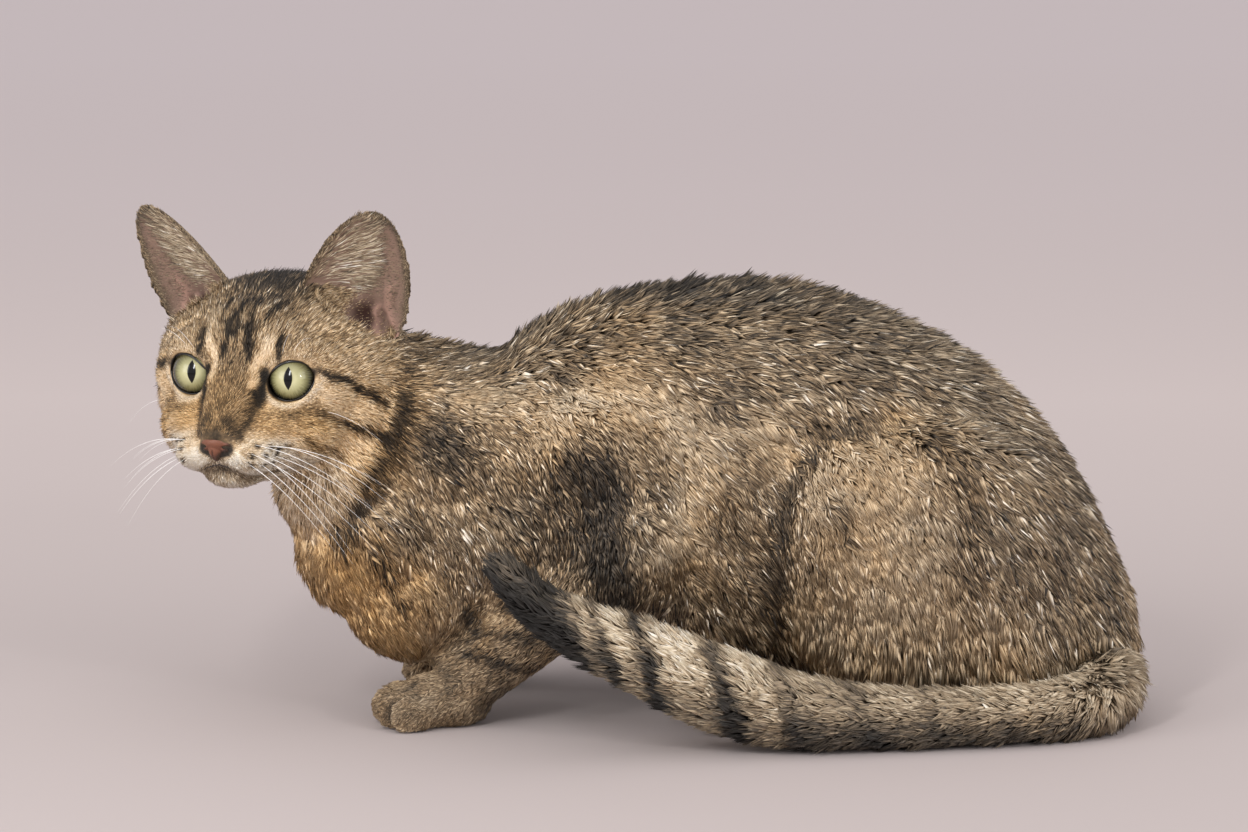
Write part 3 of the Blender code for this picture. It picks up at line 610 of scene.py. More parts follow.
def mapTail(at):
    # Hair lies along the tail, with rings by x, painted light on its top and painted shade on its
    # underside; at the root it is as on the rump.
    points, up = at.points, at.normals[:, 2]
    line = curveAlong(tailLine, 240)
    step = unit(np.gradient(line, axis=0))
    nearest = np.zeros(len(points), int)
    spots = np.where(at.isTail)[0]
    nearest[spots] = ((points[spots][:, None, ::] - line[None]) ** 2).sum(-1).argmin(1)
    run = nearest / (len(line) - 1)
    away = smoothStep(run, 0.10, 0.25)
    turned = smoothStep(run, 0.12, 0.28)[:, None]
    tailLie = step[nearest] + unit(line[nearest] - points) * smoothStep(run, 0.88, 1.0)[:, None]
    tailLie = np.array(tailForm["rootLie"]) * (1 - turned) + tailLie * turned
    length = tailForm["hair"] + 1.5 * smoothStep(run, 0.5, 0.9) + 2.0 * (1 - away)
    # painted light: the tail paler where it faces up
    tone = tailForm["tone"] + 0.08 * smoothStep(up, -0.2, 0.8)
    tone += 0.06 * smoothStep(points[:, 0], 0.140, 0.180)
    slant, soft = points[:, 0] / mm + 6 * up, tailForm["soft"]
    for low, high, goal, amount in tailRings:
        ring = amount * smoothStep(slant, low - soft, low + soft) * fadeOut(slant, high - soft, high + soft)
        tone = drawn(tone, goal, ring)
    # painted shade: the tail darker where it faces down
    tone -= tailForm["under"] * smoothStep(-up, -0.45, 0.55)
    at.lie = np.where(at.isTail[:, None], tailLie, at.lie)
    at.length = np.where(at.isTail, length, at.length)
    at.depth = np.where(at.isTail, tailForm["depth"] - 1.6 * smoothStep(run, 0.8, 1.0), at.depth)
    at.tone = np.where(at.isTail, (at.tone + 0.04) * (1 - away) + tone * away, at.tone)
    at.warmth = np.where(at.isTail, tailForm["warmth"], at.warmth)
    at.carve = tailForm["tuck"] * smoothStep(run, 0.92, 1.0) * at.isTail


def noiseAt(points, scale):
    return np.array([noise.noise(Vector(p) * scale) for p in points])


# How broken the colour is, on the head and on the body.
brokenForm = {"mottle": (0.05, 0.10), "streak": (0.05, 0.07), "fleck": 0.20, "hue": (0.06, 0.22)}


def mapColour(at):
    # Broken colour over the cat, then the markings and the painted shadow behind the cheeks.
    points, isHead = at.points, at.isHead
    mottle, speck, fleck = noiseAt(points, 38), noiseAt(points, 120), noiseAt(points, 330)
    streak = np.array([noise.noise(Vector((p[0] * 90, p[1] * 60, p[2] * 30))) for p in points])
    at.tone += (np.where(isHead, *brokenForm["mottle"]) * mottle
                + np.where(isHead, *brokenForm["streak"]) * (streak + speck))
    at.tone += np.where(isHead & ~at.isEar, brokenForm["fleck"], 0.0) * fleck
    at.warmth += np.where(isHead, *brokenForm["hue"]) * (mottle - speck)
    at.tone += 0.02 * isHead
    at.warmth += 0.16 * isHead * fadeOut(at.tone, 0.78, 0.92) - 0.07 * ~isHead * (at.warmth < 0.6)
    at.tone = np.where(isHead, applyMarks(at.tone, at.face, headMarks, 0.0), at.tone)
    body = applyMarks(at.tone, points / mm, bodyMarks, spineY / mm)
    at.tone = np.where(isHead | at.isTail, at.tone, body)
    # painted shadow behind the cheek
    at.tone = np.where(at.isTail, at.tone, applyMarks(at.tone, points / mm, cheekShadow, 0.0))


whiskerSpots = [                                  # on the cat's left lip, in mm
    (28.6, 17.5, -26.3), (24.6, 21.5, -27.1), (21.1, 24.4, -27.9), (19.3, 27, -28), (31.7, 16.9, -29.9),
    (28.9, 21, -30.5), (22.5, 24, -31.8), (32.1, 16.1, -34.8), (28.9, 20.5, -35.1), (24, 23.2, -34.8),
]
lipLine = [(34, 0, -40.6), (32, 4.5, -42.5), (26.2, 10.5, -43.9), (16.5, 16.5, -42.9), (6, 21.5, -40.2)]
philtrum = [(38, 0, -31.5), (36.5, 0, -35.5), (34, 0, -40.6)]
# line: the lips' own dark edge, with painted shade spread round it
mouthForm = {"spot": 0.02, "spotReach": (1.0, 1.9), "line": 0.04, "amount": 0.95}


def mouthLines():
    # The edge of each lip and the groove below the nose, with their half widths in mm.
    return [(lipLine, 0.9), ([(x, -y, z) for x, y, z in lipLine], 0.9), (philtrum, 0.6)]


def mapMouth(at):
    for spot in whiskerSpots:
        for side in (1, -1):
            place = np.array([(spot[0], spot[1] * side, spot[2])])
            gap = lineDistance(at.face, laidOn(at.face, place))
            mask = mouthForm["amount"] * fadeOut(gap, *mouthForm["spotReach"]) * at.isHead
            at.tone = drawn(at.tone, mouthForm["spot"], mask)
            at.length = drawn(at.length, 1.5, mask)
    # the lips' own dark edge, and painted shade spread into the hair round the mouth line and in the groove
    # below the nose
    for line, half in mouthLines():
        gap = lineDistance(at.face, line)
        mask = mouthForm["amount"] * fadeOut(gap, half * 0.6, half + 1.1) * at.isHead
        at.tone = drawn(at.tone, mouthForm["line"], mask)
        at.thick *= 1 - fadeOut(gap, 0.6, 1.0) * at.isHead
        at.length = drawn(at.length, 1.2, fadeOut(gap, 1, 3) * at.isHead)
        at.depth = drawn(at.depth, 0.2, fadeOut(gap, 1, 4) * at.isHead)


ringForm = {"pale": 0.90, "rim": 0.02, "bareTo": 1.14, "hair": 2.4, "depth": 0.1}


def mapEyes(at):
    # Round each eye: bare dark lids, then a pale ring, then the dark marks at its inner corner.
    for side, middle, out, across in eyeFrames():
        offset = at.local - middle
        sideways, upward, forward = offset @ across, offset[:, 2], offset @ out
        upward = upward - eyeForm["slant"] * side * sideways
        ring = np.hypot(sideways / eyeForm["wide"], upward / eyeForm["tall"])
        gap = np.linalg.norm(offset, axis=1)
        near = at.isHead & (forward > -0.002) & (gap < 0.030)
        low = smoothStep(-upward / eyeForm["tall"], -0.6, 0.8)
        pale = smoothStep(ring, 1.02, 1.08) * fadeOut(ring, 1.24, 1.46) * (0.30 + 0.5 * low) * near
        at.tone = drawn(at.tone, ringForm["pale"], pale)
        at.warmth = at.warmth - at.warmth * 0.7 * pale
        at.tone = drawn(at.tone, ringForm["rim"], fadeOut(ring, 0.99, 1.04) * near)
        at.thick = np.where(near & (ring < ringForm["bareTo"]), 0, at.thick)
        at.thick = np.where(gap < eyeForm["radius"] + 0.0008, 0, at.thick)
        at.depth = drawn(at.depth, ringForm["depth"], fadeOut(ring, 1.15, 1.6) * near)
        at.length = drawn(at.length, ringForm["hair"], fadeOut(ring, 1.2, 2.2) * near)
    at.tone = np.where(at.isHead, applyMarks(at.tone, at.face, tearMarks, 0.0), at.tone)


leatherForm = {"centre": (36.5, 0, -27), "size": (8.2, 8.4, 6.4), "edge": 0.12}


def mapNose(at):
    # The nose leather carries no hair, and the hair round it is dark and close.
    gap = (at.face - np.array(leatherForm["centre"])) / np.array(leatherForm["size"])
    gap = np.linalg.norm(gap, axis=1)
    at.thick = np.where(at.isHead & (gap < 1.08), 0, at.thick)
    at.depth = drawn(at.depth, 0.2, fadeOut(gap, 1.0, 1.5) * at.isHead)
    edge = fadeOut(gap, 1.02, 1.20) * (0.35 + 0.55 * smoothStep(-at.face[:, 2], 25, 28)) * at.isHead
    at.tone = drawn(at.tone, leatherForm["edge"], edge)


earForms = {                                      # inner root, outer root and tip, in the head's frame
    "ear_left": ((-0.0265, 0.0165, 0.0380), (-0.0470, 0.0570, 0.0135), (-0.0220, 0.0540, 0.0745)),
    "ear_right": ((-0.0260, -0.0225, 0.0370), (-0.0490, -0.0535, 0.0075), (-0.0220, -0.0608, 0.0718)),
}
earForm = {"backHair": 3.0, "rimHair": 1.4, "innerHair": (3.0, 14), "depth": 0.12, "fine": 0.85,
           "innerFine": 0.61,
           "tone": 0.38, "innerTone": 0.44, "warmth": 0.30, "innerWarmth": 0.26}


def earFrame(name):
    inner, outer, tip = (np.array(p) for p in earForms[name])
    base = (inner + outer) / 2
    rise = tip - base
    up = unit(rise)
    wide = outer - inner
    half = np.linalg.norm(wide) / 2
    wide = unit(wide - up * (wide @ up))
    front = np.cross(wide, up) * (1 if name == "ear_left" else -1)
    return base, up, wide, front, half, np.linalg.norm(rise)


def mapEars(at):
    # Short hair behind and on the rim, long pale hair over bare skin inside.
    for ear in earForms:
        base, up, wide, front, half, tall = earFrame(ear)
        mine = at.name == ear
        offset = at.local - base
        across, rise = (offset @ wide) / half, (offset @ up) / tall
        inside = smoothStep(at.facing @ front, 0.0, 0.35) * mine
        reach = 1 - 0.75 * np.clip(rise, 0, 1) ** 1.8
        rimward = smoothStep(np.abs(across) / np.maximum(reach, 0.1), 0.80, 0.98)
        rimward = np.maximum(rimward, smoothStep(rise, 0.84, 0.97))
        hollow = inside * (1 - rimward)
        backLie = up * 1.0 + wide[None] * (0.20 * across)[:, None]
        innerLie = wide[None] * (0.95 - 0.35 * rise)[:, None] + up[None] * (0.25 + 0.55 * rise)[:, None]
        earLie = drawn(backLie, innerLie, hollow[:, None]) @ headTurn.T
        strand = fadeOut(across, -0.15, 0.35)
        thumb = np.exp(-(across / 0.42) ** 2 - ((rise - 0.42) / 0.26) ** 2)
        backLength = earForm["backHair"] - earForm["rimHair"] * rimward
        innerLength = earForm["innerHair"][0] + earForm["innerHair"][1] * strand * (1 - 0.45 * rise)
        backTone = earForm["tone"] + 0.20 * thumb + 0.04 * inside - 0.06 * smoothStep(rise, 0.7, 1.0)
        innerTone = earForm["innerTone"] + 0.20 * strand - 0.12 * smoothStep(rise, 0.50, 0.90)
        tone = drawn(backTone, innerTone, hollow) - 0.06 * rimward * inside
        sparse = 0.40 + 0.36 * (1 - strand) + 0.22 * smoothStep(rise, 0.45, 0.85)
        at.lie = np.where(mine[:, None], earLie, at.lie)
        at.length = np.where(mine, drawn(backLength, innerLength, hollow), at.length)
        at.depth = np.where(mine, earForm["depth"], at.depth)
        at.tone = np.where(mine, tone, at.tone)
        at.warmth = np.where(mine, earForm["warmth"] - earForm["innerWarmth"] * hollow, at.warmth)
        at.bare = np.where(mine, hollow, at.bare)
        at.thick = np.where(mine, 1 - np.minimum(sparse, 0.9) * hollow, at.thick)
        at.fine = np.where(mine, earForm["fine"] - earForm["innerFine"] * hollow, at.fine)
        at.calm = np.maximum(at.calm, 0.55 * hollow)


# dark: the reach of the painted shade deep in each hollow
pitForm = {"centre": (-47.5, 40.5, 23), "bare": (0.010, 0.0150), "dark": (0.0040, 0.0125), "rise": 0.0014,
           "folds": [[(-44, 57, 14), (-45, 52, 22), (-44, 50, 30), (-42, 54, 36)],
                     [(-41, 47, 14), (-45, 44, 21), (-45, 45, 28)]]}


def mapPits(at):
    # The hollow at each ear's root is bare, with painted shade at the bottom, and raised folds of skin
    # across it that are paler as a painted highlight.
    for side, ear in ((1, "ear_left"), (-1, "ear_right")):
        mirror = np.array([1, side, 1])
        ahead = at.facing @ earFrame(ear)[3]
        gap = np.linalg.norm(at.local - np.array(pitForm["centre"]) * mirror * mm, axis=1)
        gap += 0.02 * fadeOut(ahead, -0.1, 0.3)
        pit = fadeOut(gap, *pitForm["bare"]) * at.isHead
        dark = fadeOut(gap, *pitForm["dark"]) * at.isHead
        at.bare = np.maximum(at.bare, pit)
        at.thick *= 1 - 0.94 * pit
        at.length -= np.maximum(at.length - 2.5, 0) * fadeOut(gap, 0.011, 0.022) * at.isHead
        at.depth = drawn(at.depth, 0.2, pit)
        for line in pitForm["folds"]:
            ridge = fadeOut(lineDistance(at.face, laidOn(at.face, np.array(line) * mirror)), 0.4, 2.4)
            ridge = ridge * at.isHead * smoothStep(ahead, -0.1, 0.3)
            at.bare = np.maximum(at.bare, ridge)
            dark = dark * (1 - 0.9 * ridge)
            at.carve = at.carve - pitForm["rise"] * ridge
            # painted highlight on the raised folds
            at.glow = np.maximum(at.glow, ridge)
        # painted shade at the bottom of the hollow
        at.sunk = np.maximum(at.sunk, dark)


pawForms = [                                      # place, heading in degrees, size, node
    ((-0.0960, -0.0410), 190, 1.06, "forepaw_left"), ((-0.0880, 0.0500), 176, 1.06, "forepaw_right"),
    ((0.0520, -0.0339), 180, 1.02, "hindfoot_left"), ((0.0560, 0.0781), 180, 1.02, "hindfoot_right"),
]
# tone is the painted shade in the clefts between the toes
cleftForm = {"aside": (-0.0091, 0.0, 0.0091), "from": 0.002, "over": 0.006, "half": 0.0021, "deep": 0.0040,
             "tone": 0.08}


def toeClefts(points, name):
    # How far each point lies in a cleft between two toes, from 0 to 1.
    found = np.zeros(len(points))
    for place, heading, size, node in pawForms:
        angle = math.radians(heading)
        offset = points[:, :2] - np.array(place)
        ahead = offset @ np.array([math.cos(angle), math.sin(angle)]) / size
        aside = offset @ np.array([-math.sin(angle), math.cos(angle)]) / size
        reach = smoothStep(ahead, cleftForm["from"], cleftForm["from"] + cleftForm["over"]) * (name == node)
        for line in cleftForm["aside"]:
            found = np.maximum(found, reach * np.exp(-((aside - line) / cleftForm["half"]) ** 2))
    return found


hangForm = {"nodes": ["hindleg_left", "hindleg_right", "torso"], "below": (0.034, 0.066), "longer": 11}


def mapEdges(at):
    # The toes' clefts have short hair and painted shade; hair hangs over the edge of thigh and belly.
    cleft = toeClefts(at.points, at.name)
    # painted shade in the clefts between the toes
    at.tone = drawn(at.tone, cleftForm["tone"], 0.90 * cleft)
    at.length = drawn(at.length, 1.2, 0.8 * cleft)
    at.carve = at.carve + cleftForm["deep"] * cleft
    hang = np.isin(at.name, hangForm["nodes"]) * fadeOut(at.points[:, 2], *hangForm["below"])
    hang = hang * smoothStep(-at.normals[:, 2], -0.5, 0.3) * (at.points[:, 0] > 0.0)
    at.length += hangForm["longer"] * hang
    at.lie = drawn(at.lie, np.array([0.1, 0.0, -1.0]), (0.7 * hang)[:, None])
    at.flare = hang


def mapTicks(at):
    # How far each lock is ticked: hard on the back, softly in the tan places and on the tail.
    isPaw = np.char.startswith(at.name, "forep") | np.char.startswith(at.name, "hindf")
    ticked = np.where(at.isHead, 1.35, 1.0) - 0.75 * smoothStep(at.tone, 0.50, 0.70) * ~at.isHead
    ticked = np.where(at.isTail, 0.40, ticked - at.calm)
    at.ticked = np.clip(np.where(isPaw, 0.6, ticked), 0.2, 1.35)
    at.thick = np.where(np.char.startswith(at.name, "fore"), 0.72 * at.thick, at.thick)
    at.thick = np.where(at.points[:, 2] < 0.0015, 0.15, at.thick)


def mapSkin(points, normals, owner):
    # Everything that the coat needs at each point of the skin; "face" is the place in mm on the head.
    values = readGuides(points, *guideTable())
    name, local = np.array(fleshNodes)[owner], toHead(points)
    isEar = np.char.startswith(name, "ear")
    isHead = (name == "head") | (name == "nose") | isEar
    at = SimpleNamespace(
        points=points, normals=normals, owner=owner, name=name, local=local, face=local / mm,
        facing=toHead(points + normals) - local, isHead=isHead, isEar=isEar,
        isTail=np.char.startswith(name, "tail"), lie=values[:, :3].copy(), thick=np.ones(len(points)),
        fine=np.where(isHead, 0.72 - 0.20 * smoothStep(local[:, 0], 0.004, 0.020), 1.0))
    for column, key in enumerate(("length", "depth", "tone", "warmth")):
        setattr(at, key, values[:, 3 + column].copy())
    for key in ("bare", "sunk", "glow", "calm"):
        setattr(at, key, np.zeros(len(points)))
    for step in (mapTail, mapColour, mapMouth, mapEyes, mapNose, mapEars, mapPits, mapEdges, mapTicks):
        step(at)
    at.lie = unit(at.lie)
    at.length, at.depth, at.tone = at.length * mm, at.depth * mm, np.clip(at.tone, 0.02, 1)
    return vars(at)


def buildSkin(group):
    tree, faceOwner = cadFaces()
    skin = skinShell()
    points, faces = readMesh(skin.data)
    owner = np.array([faceOwner[tree.find_nearest(Vector(p))[2]] for p in points])
    normals = pointNormals(points, faces)
    fields = mapSkin(points, normals, owner)
    for name, rounds in (("depth", 8), ("length", 3), ("bare", 2), ("glow", 1), ("sunk", 1), ("carve", 2)):
        fields[name] = blurred(fields[name], faces, rounds)
    fields["depth"] = np.maximum(0.0001, fields["depth"])
    inner = points - normals * (fields["depth"] + fields["carve"] + skinForm["close"])[:, None]
    movePoints(skin, inner)
    only(skin)
    bpy.ops.object.shade_smooth()
    for name in ("tone", "warmth", "bare", "sunk", "glow"):
        setAttribute(skin, name, fields[name])
    skin.data.materials.append(skinMaterial(group))
    fields["points"], fields["faces"], fields["normals"] = inner, faces, pointNormals(inner, faces)
    print("skin", len(faces), "triangles")
    return skin, fields


# The coat. Lengths are in metres; thin is in mm.
coatForm = {"cover": 3.3, "coverShort": 2.1, "thin": 0.24, "widen": 0.028, "spread": 0.44, "guards": 0.10,
            "clumpGap": 0.0046, "clump": 0.60, "leaders": 0.08, "flare": 0.30, "crest": 0.80, "sway": 0.24,
            "stray": 0.14, "lengths": (0.65, 1.12), "widths": (0.7, 1.25), "lifts": (0.7, 1.3),
            "darkTips": 0.28, "rooted": 0.0004, "floor": 0.0003, "perPiece": 46000}


def rootSpots(fields, faceList, seed):
    # Draws the roots of the tufts over the given faces, closer together where the hair is short.
    pick = np.random.default_rng(seed)
    faces = fields["faces"][faceList]
    points = fields["points"]
    a, b, c = points[faces[:, 0]], points[faces[:, 1]], points[faces[:, 2]]
    area = np.linalg.norm(np.cross(b - a, c - a), axis=1) / 2
    length = fields["length"][faces].mean(1)
    width = coatForm["thin"] * mm + coatForm["widen"] * length
    width = width * (0.4 + 0.6 * fields["fine"][faces].mean(1))
    short, cover = coatForm["coverShort"], coatForm["cover"]
    cover = short + (cover - short) * smoothStep(length, 0.004, 0.009)
    wanted = area * cover * fields["thick"][faces].mean(1) / (0.5 * length * width)
    count = np.floor(wanted + pick.random(len(wanted))).astype(int)
    where = np.repeat(np.arange(len(faces)), count)
    u, v = pick.random(len(where)), pick.random(len(where))
    flip = u + v > 1
    u[flip], v[flip] = 1 - u[flip], 1 - v[flip]
    weights = np.stack([1 - u - v, u, v], 1)
    return where, weights, pick


def blend(values, corners, weights):
    if values.ndim == 1:
        return (values[corners] * weights).sum(1)
    return (values[corners] * weights[:, :, None]).sum(1)


def unwrapOf(fields, faceList):
    # Unwraps a copy of the given faces, so that each tuft's colour has a place on the skin's own shape.
    faces = fields["faces"][faceList]
    used, compact = np.unique(faces, return_inverse=True)
    copy = makeMesh("unwrap", fields["points"][used], compact.reshape(-1, 3))
    only(copy)
    copy.data.uv_layers.new(name="OFBake")
    bpy.ops.object.mode_set(mode="EDIT")
    bpy.ops.mesh.select_all(action="SELECT")
    bpy.ops.uv.smart_project(angle_limit=math.radians(66), island_margin=0.004)
    bpy.ops.object.mode_set(mode="OBJECT")
    places = np.empty(len(faces) * 6, dtype=np.float32)
    copy.data.uv_layers[0].data.foreach_get("uv", places)
    bpy.data.objects.remove(copy)
    return places.reshape(-1, 3, 2)


patch = np.array([(0, -0.0015), (-0.0013, 0), (0.0013, 0), (0, 0.0015)])
tuftFaces = np.array([(0, 2, 1), (0, 1, 3), (0, 3, 2), (1, 2, 3)])


def clumpTips(tips, roots, clump, pick):
    # Draws the tips of neighbouring tufts together, as the locks of a coat do.
    leaders = np.where(pick.random(len(tips)) < coatForm["leaders"])[0]
    if len(leaders) < 10:
        return tips
    tree = KDTree(len(leaders))
    for i, index in enumerate(leaders):
        tree.insert(Vector(roots[index]), i)
    tree.balance()
    nearest = np.array([tree.find(Vector(p))[1] for p in roots])
    leader = leaders[nearest]
    reach = np.linalg.norm(roots - roots[leader], axis=1)
    pull = clump * (1 - smoothStep(reach, coatForm["clumpGap"] * 0.5, coatForm["clumpGap"] * 1.6))
    return tips + (tips[leader] - tips) * pull[:, None]


def tuftShapes(here, pick):
    # The corners of each tuft: a root, two points at its widest, and a tip.
    root, normal, length, fine = here["points"], unit(here["normals"]), here["length"], here["fine"]
    count = len(root)
    sway = np.array([noise.noise_vector(Vector(p) * 130) for p in root])
    crest = smoothStep(normal[:, 2], 0.45, 0.9) * smoothStep(length, 0.009, 0.012)
    loose = 0.6 + 0.4 * smoothStep(length, 0.003, 0.008)
    sway = coatForm["sway"] * sway + coatForm["stray"] * pick.normal(size=(count, 3))
    lie = here["lie"] + sway * loose[:, None]
    lie = unit(lie - normal * (lie * normal).sum(1, keepdims=True))
    guard = (pick.random(count) < coatForm["guards"]) * smoothStep(length, 0.004, 0.009)
    length = length * pick.uniform(*coatForm["lengths"], count) * (1 + 0.22 * guard)
    width = coatForm["thin"] * mm + coatForm["widen"] * length
    width = width * pick.uniform(*coatForm["widths"], count) * fine
    lift = np.clip(here["depth"] / np.maximum(length, 0.001), 0.05, 0.6)
    lift = lift * pick.uniform(*coatForm["lifts"], count)
    lift = lift * (1 + 0.3 * guard) + 0.05 + coatForm["flare"] * here["flare"]
    rise = lift * (0.2 + 1.5 * pick.random(count) ** 2)
    rise = rise + coatForm["crest"] * crest * pick.random(count) ** 2
    middle = root + 0.45 * length[:, None] * unit(lie + normal * (lift * 1.3)[:, None])
    tip = middle + 0.55 * length[:, None] * unit(lie + normal * rise[:, None])
    tip = clumpTips(tip, root, coatForm["clump"] * (0.25 + 0.75 * smoothStep(fine, 0.72, 0.98)), pick)
    along = unit(tip - root)
    side = unit(np.cross(normal, along))
    up = np.cross(along, side)
    wide = width[:, None]
    root = root - normal * coatForm["rooted"]
    bow = ((middle - root - 0.45 * (tip - root)) * up).sum(1)
    bow = np.where(np.abs(bow) < 0.22 * width, 0.22 * width - bow, 0.0)
    middle = middle + up * bow[:, None]
    left, right = middle - side * wide * 0.5, middle + side * wide * 0.5
    inward = (np.cross(left - root, right - root) * (tip - root)).sum(1) < 0
    left[inward], right[inward] = right[inward], left[inward].copy()
    shape = np.stack([root, left, right, tip], 1)
    shape[:, :, 2] = np.maximum(shape[:, :, 2], coatForm["floor"])
    return shape, guard


def tuftColours(here, guard, pick):
    # The tone of each tuft and its band from root to tip, paler or darker at the tip.
    tone, ticked, count = here["tone"], here["ticked"], len(guard)
    calm = 0.25 + 0.75 * smoothStep(tone, 0.05, 0.35)
    tone = tone + (pick.random(count) - 0.5) * coatForm["spread"] * (0.35 + 0.65 * ticked) * calm
    tone = tone + guard * ticked * calm * pick.choice([-0.25, 0.26, 0.26], count)
    band = np.tile([0.0, 0.5, 0.5, 1.0], (count, 1))
    band[pick.random(count) < coatForm["darkTips"] * ticked] = [0.35, 0.8, 0.8, 0.1]
    middle = coatColours["bandMiddle"]
    band = middle + (band - middle) * ((0.3 + 0.7 * ticked) * calm)[:, None]
    return np.clip(tone, 0, 1), band


def growTufts(fields, faceList, seed):
    where, weights, pick = rootSpots(fields, faceList, seed)
    corners = fields["faces"][faceList][where]
    keys = ("points", "normals", "lie", "length", "depth", "tone", "warmth", "fine", "flare", "ticked")
    here = {key: blend(fields[key], corners, weights) for key in keys}
    shape, guard = tuftShapes(here, pick)
    tone, band = tuftColours(here, guard, pick)
    place = blend(unwrapOf(fields, faceList), where, weights)
    return shape, tone, here["warmth"], band, place


def coatPiece(name, shape, tone, warmth, band, place, material):
    count = len(shape)
    faces = (tuftFaces[None] + 4 * np.arange(count)[:, None, None]).reshape(-1, 3)
    piece = makeMesh(name, shape.reshape(-1, 3), faces)
    setAttribute(piece, "tone", np.repeat(tone, 4))
    setAttribute(piece, "warmth", np.repeat(warmth, 4))
    setAttribute(piece, "along", band.ravel())
    spots = (place[:, None, :] + patch[None]).reshape(-1, 2)
    layer = piece.data.uv_layers.new(name="OFBake")
    layer.data.foreach_set("uv", spots[faces.ravel()].astype(np.float32).ravel())
    piece.data.materials.append(material)
    return piece


def buildCoat(fields, material):
    regions = {
        "face": ["head", "nose"], "ears": ["ear_left", "ear_right"], "neck": ["neck"], "trunk": ["torso"],
        "forelegs": ["foreleg_left", "foreleg_right", "forepaw_left", "forepaw_right"],
        "hindlegs": ["hindleg_left", "hindleg_right", "hindfoot_left", "hindfoot_right"],
        "tail": ["tail_base", "tail_middle", "tail_tip"],
    }
    faceOwner = fields["owner"][fields["faces"][:, 0]]
    made, total = [], 0
    for seed, (region, nodes) in enumerate(regions.items()):
        chosen = np.isin(faceOwner, [fleshNodes.index(n) for n in nodes])
        faceList = np.where(chosen)[0]
        grown = growTufts(fields, faceList, 100 + seed)
        shape = grown[0]
        parts = math.ceil(len(shape) / coatForm["perPiece"])
        order = np.argsort(shape[:, 0, 0], kind="stable")
        for number, chunk in enumerate(np.array_split(order, parts)):
            name = f"coat_{region}" + (f"_{number + 1}" if parts > 1 else "")
            made.append(coatPiece(name, *(values[chunk] for values in grown), material))
        total += len(shape) * len(tuftFaces)
        print("coat", region, len(shape), "tufts")
    print("coat total", total, "triangles")
    return made


# The eyes.
irisForm = {
    "radius": 0.0099, "slitWide": 0.0020, "slitTall": 0.0053, "pupil": (0.002, 0.002, 0.002),
    "shadow": (0.10, 0.085, 0.04),
    "rings": [(0.0, (0.38, 0.36, 0.15)), (0.32, (0.58, 0.55, 0.32)), (0.60, (0.43, 0.41, 0.21)),
              (0.82, (0.16, 0.15, 0.065)), (0.95, (0.02, 0.02, 0.012)), (1.0, (0.006, 0.006, 0.005))],
}


def eyeMaterial():
    # A green iris with radial fibres, a slit pupil, the upper lid's shadow, and a wet clear coat.
    material, tree, shader = newMaterial("eye", 0.25)
    x, y = readAttribute(tree, "irisAcross"), readAttribute(tree, "irisUp")
    squares = mathNode(tree, "ADD", mathNode(tree, "MULTIPLY", x, x), mathNode(tree, "MULTIPLY", y, y))
    share = mathNode(tree, "DIVIDE", mathNode(tree, "SQRT", squares), irisForm["radius"])
    angle = mathNode(tree, "MULTIPLY", mathNode(tree, "ARCTAN2", y, x), 9.0)
    polar = addNode(tree, "ShaderNodeCombineXYZ", {0: angle, 1: mathNode(tree, "MULTIPLY", share, 1.6)})
    inputs = {"Scale": 2.2, "Detail": 5, "Vector": polar.outputs[0]}
    fibre = addNode(tree, "ShaderNodeTexNoise", inputs).outputs[0]
    shaded = mathNode(tree, "MULTIPLY_ADD", fibre, 0.30, mathNode(tree, "SUBTRACT", share, 0.15))
    iris = rampNode(tree, shaded, irisForm["rings"])
    across = mathNode(tree, "DIVIDE", mathNode(tree, "ABSOLUTE", x), irisForm["slitWide"])
    upward = mathNode(tree, "DIVIDE", mathNode(tree, "ABSOLUTE", y), irisForm["slitTall"])
    inside = mathNode(tree, "ADD", across, mathNode(tree, "POWER", upward, 2.0))
    slit = mathNode(tree, "MULTIPLY_ADD", mathNode(tree, "SUBTRACT", inside, 1.0), 6.0, 0.5, clamp=True)
    lidShade = mathNode(tree, "MULTIPLY_ADD", y, 1.0 / irisForm["radius"], 0.10, clamp=True)
    iris = mixColours(tree, mathNode(tree, "MULTIPLY", lidShade, 0.75), iris, irisForm["shadow"])
    fill(tree, shader, {"Base Color": mixColours(tree, slit, irisForm["pupil"], iris), "Coat Weight": 1.0,
                        "Coat Roughness": 0.03, "Coat IOR": 1.38, "Specular IOR Level": 0.05})
    return material


def buildEyes():
    material = eyeMaterial()
    gaze = headTurn @ unit(np.array(eyeForm["gaze"]))
    turn = Vector(gaze).to_track_quat("Z", "Y")
    for side, name in ((1, "left"), (-1, "right")):
        middle = fromHead([0, side * eyeForm["apart"], 0])
        bpy.ops.mesh.primitive_uv_sphere_add(segments=64, ring_count=32, radius=eyeForm["radius"],
                                             location=middle, rotation=turn.to_euler())
        eye = bpy.context.active_object
        eye.name = "eyeball_" + name
        points, _ = readMesh(eye.data)
        front = smoothStep(points[:, 2] / eyeForm["radius"], 0.70, 1.0)
        points = points * (1 + eyeForm["bulge"] * front)[:, None]
        movePoints(eye, points)
        setAttribute(eye, "irisAcross", points[:, 0])
        setAttribute(eye, "irisUp", points[:, 1])
        only(eye)
        bpy.ops.object.transform_apply(location=True, rotation=True, scale=True)
        bpy.ops.object.shade_smooth()
        eye.data.materials.append(material)
        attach(eye, "root")
        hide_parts("eye_" + name)
        print("eye", name)


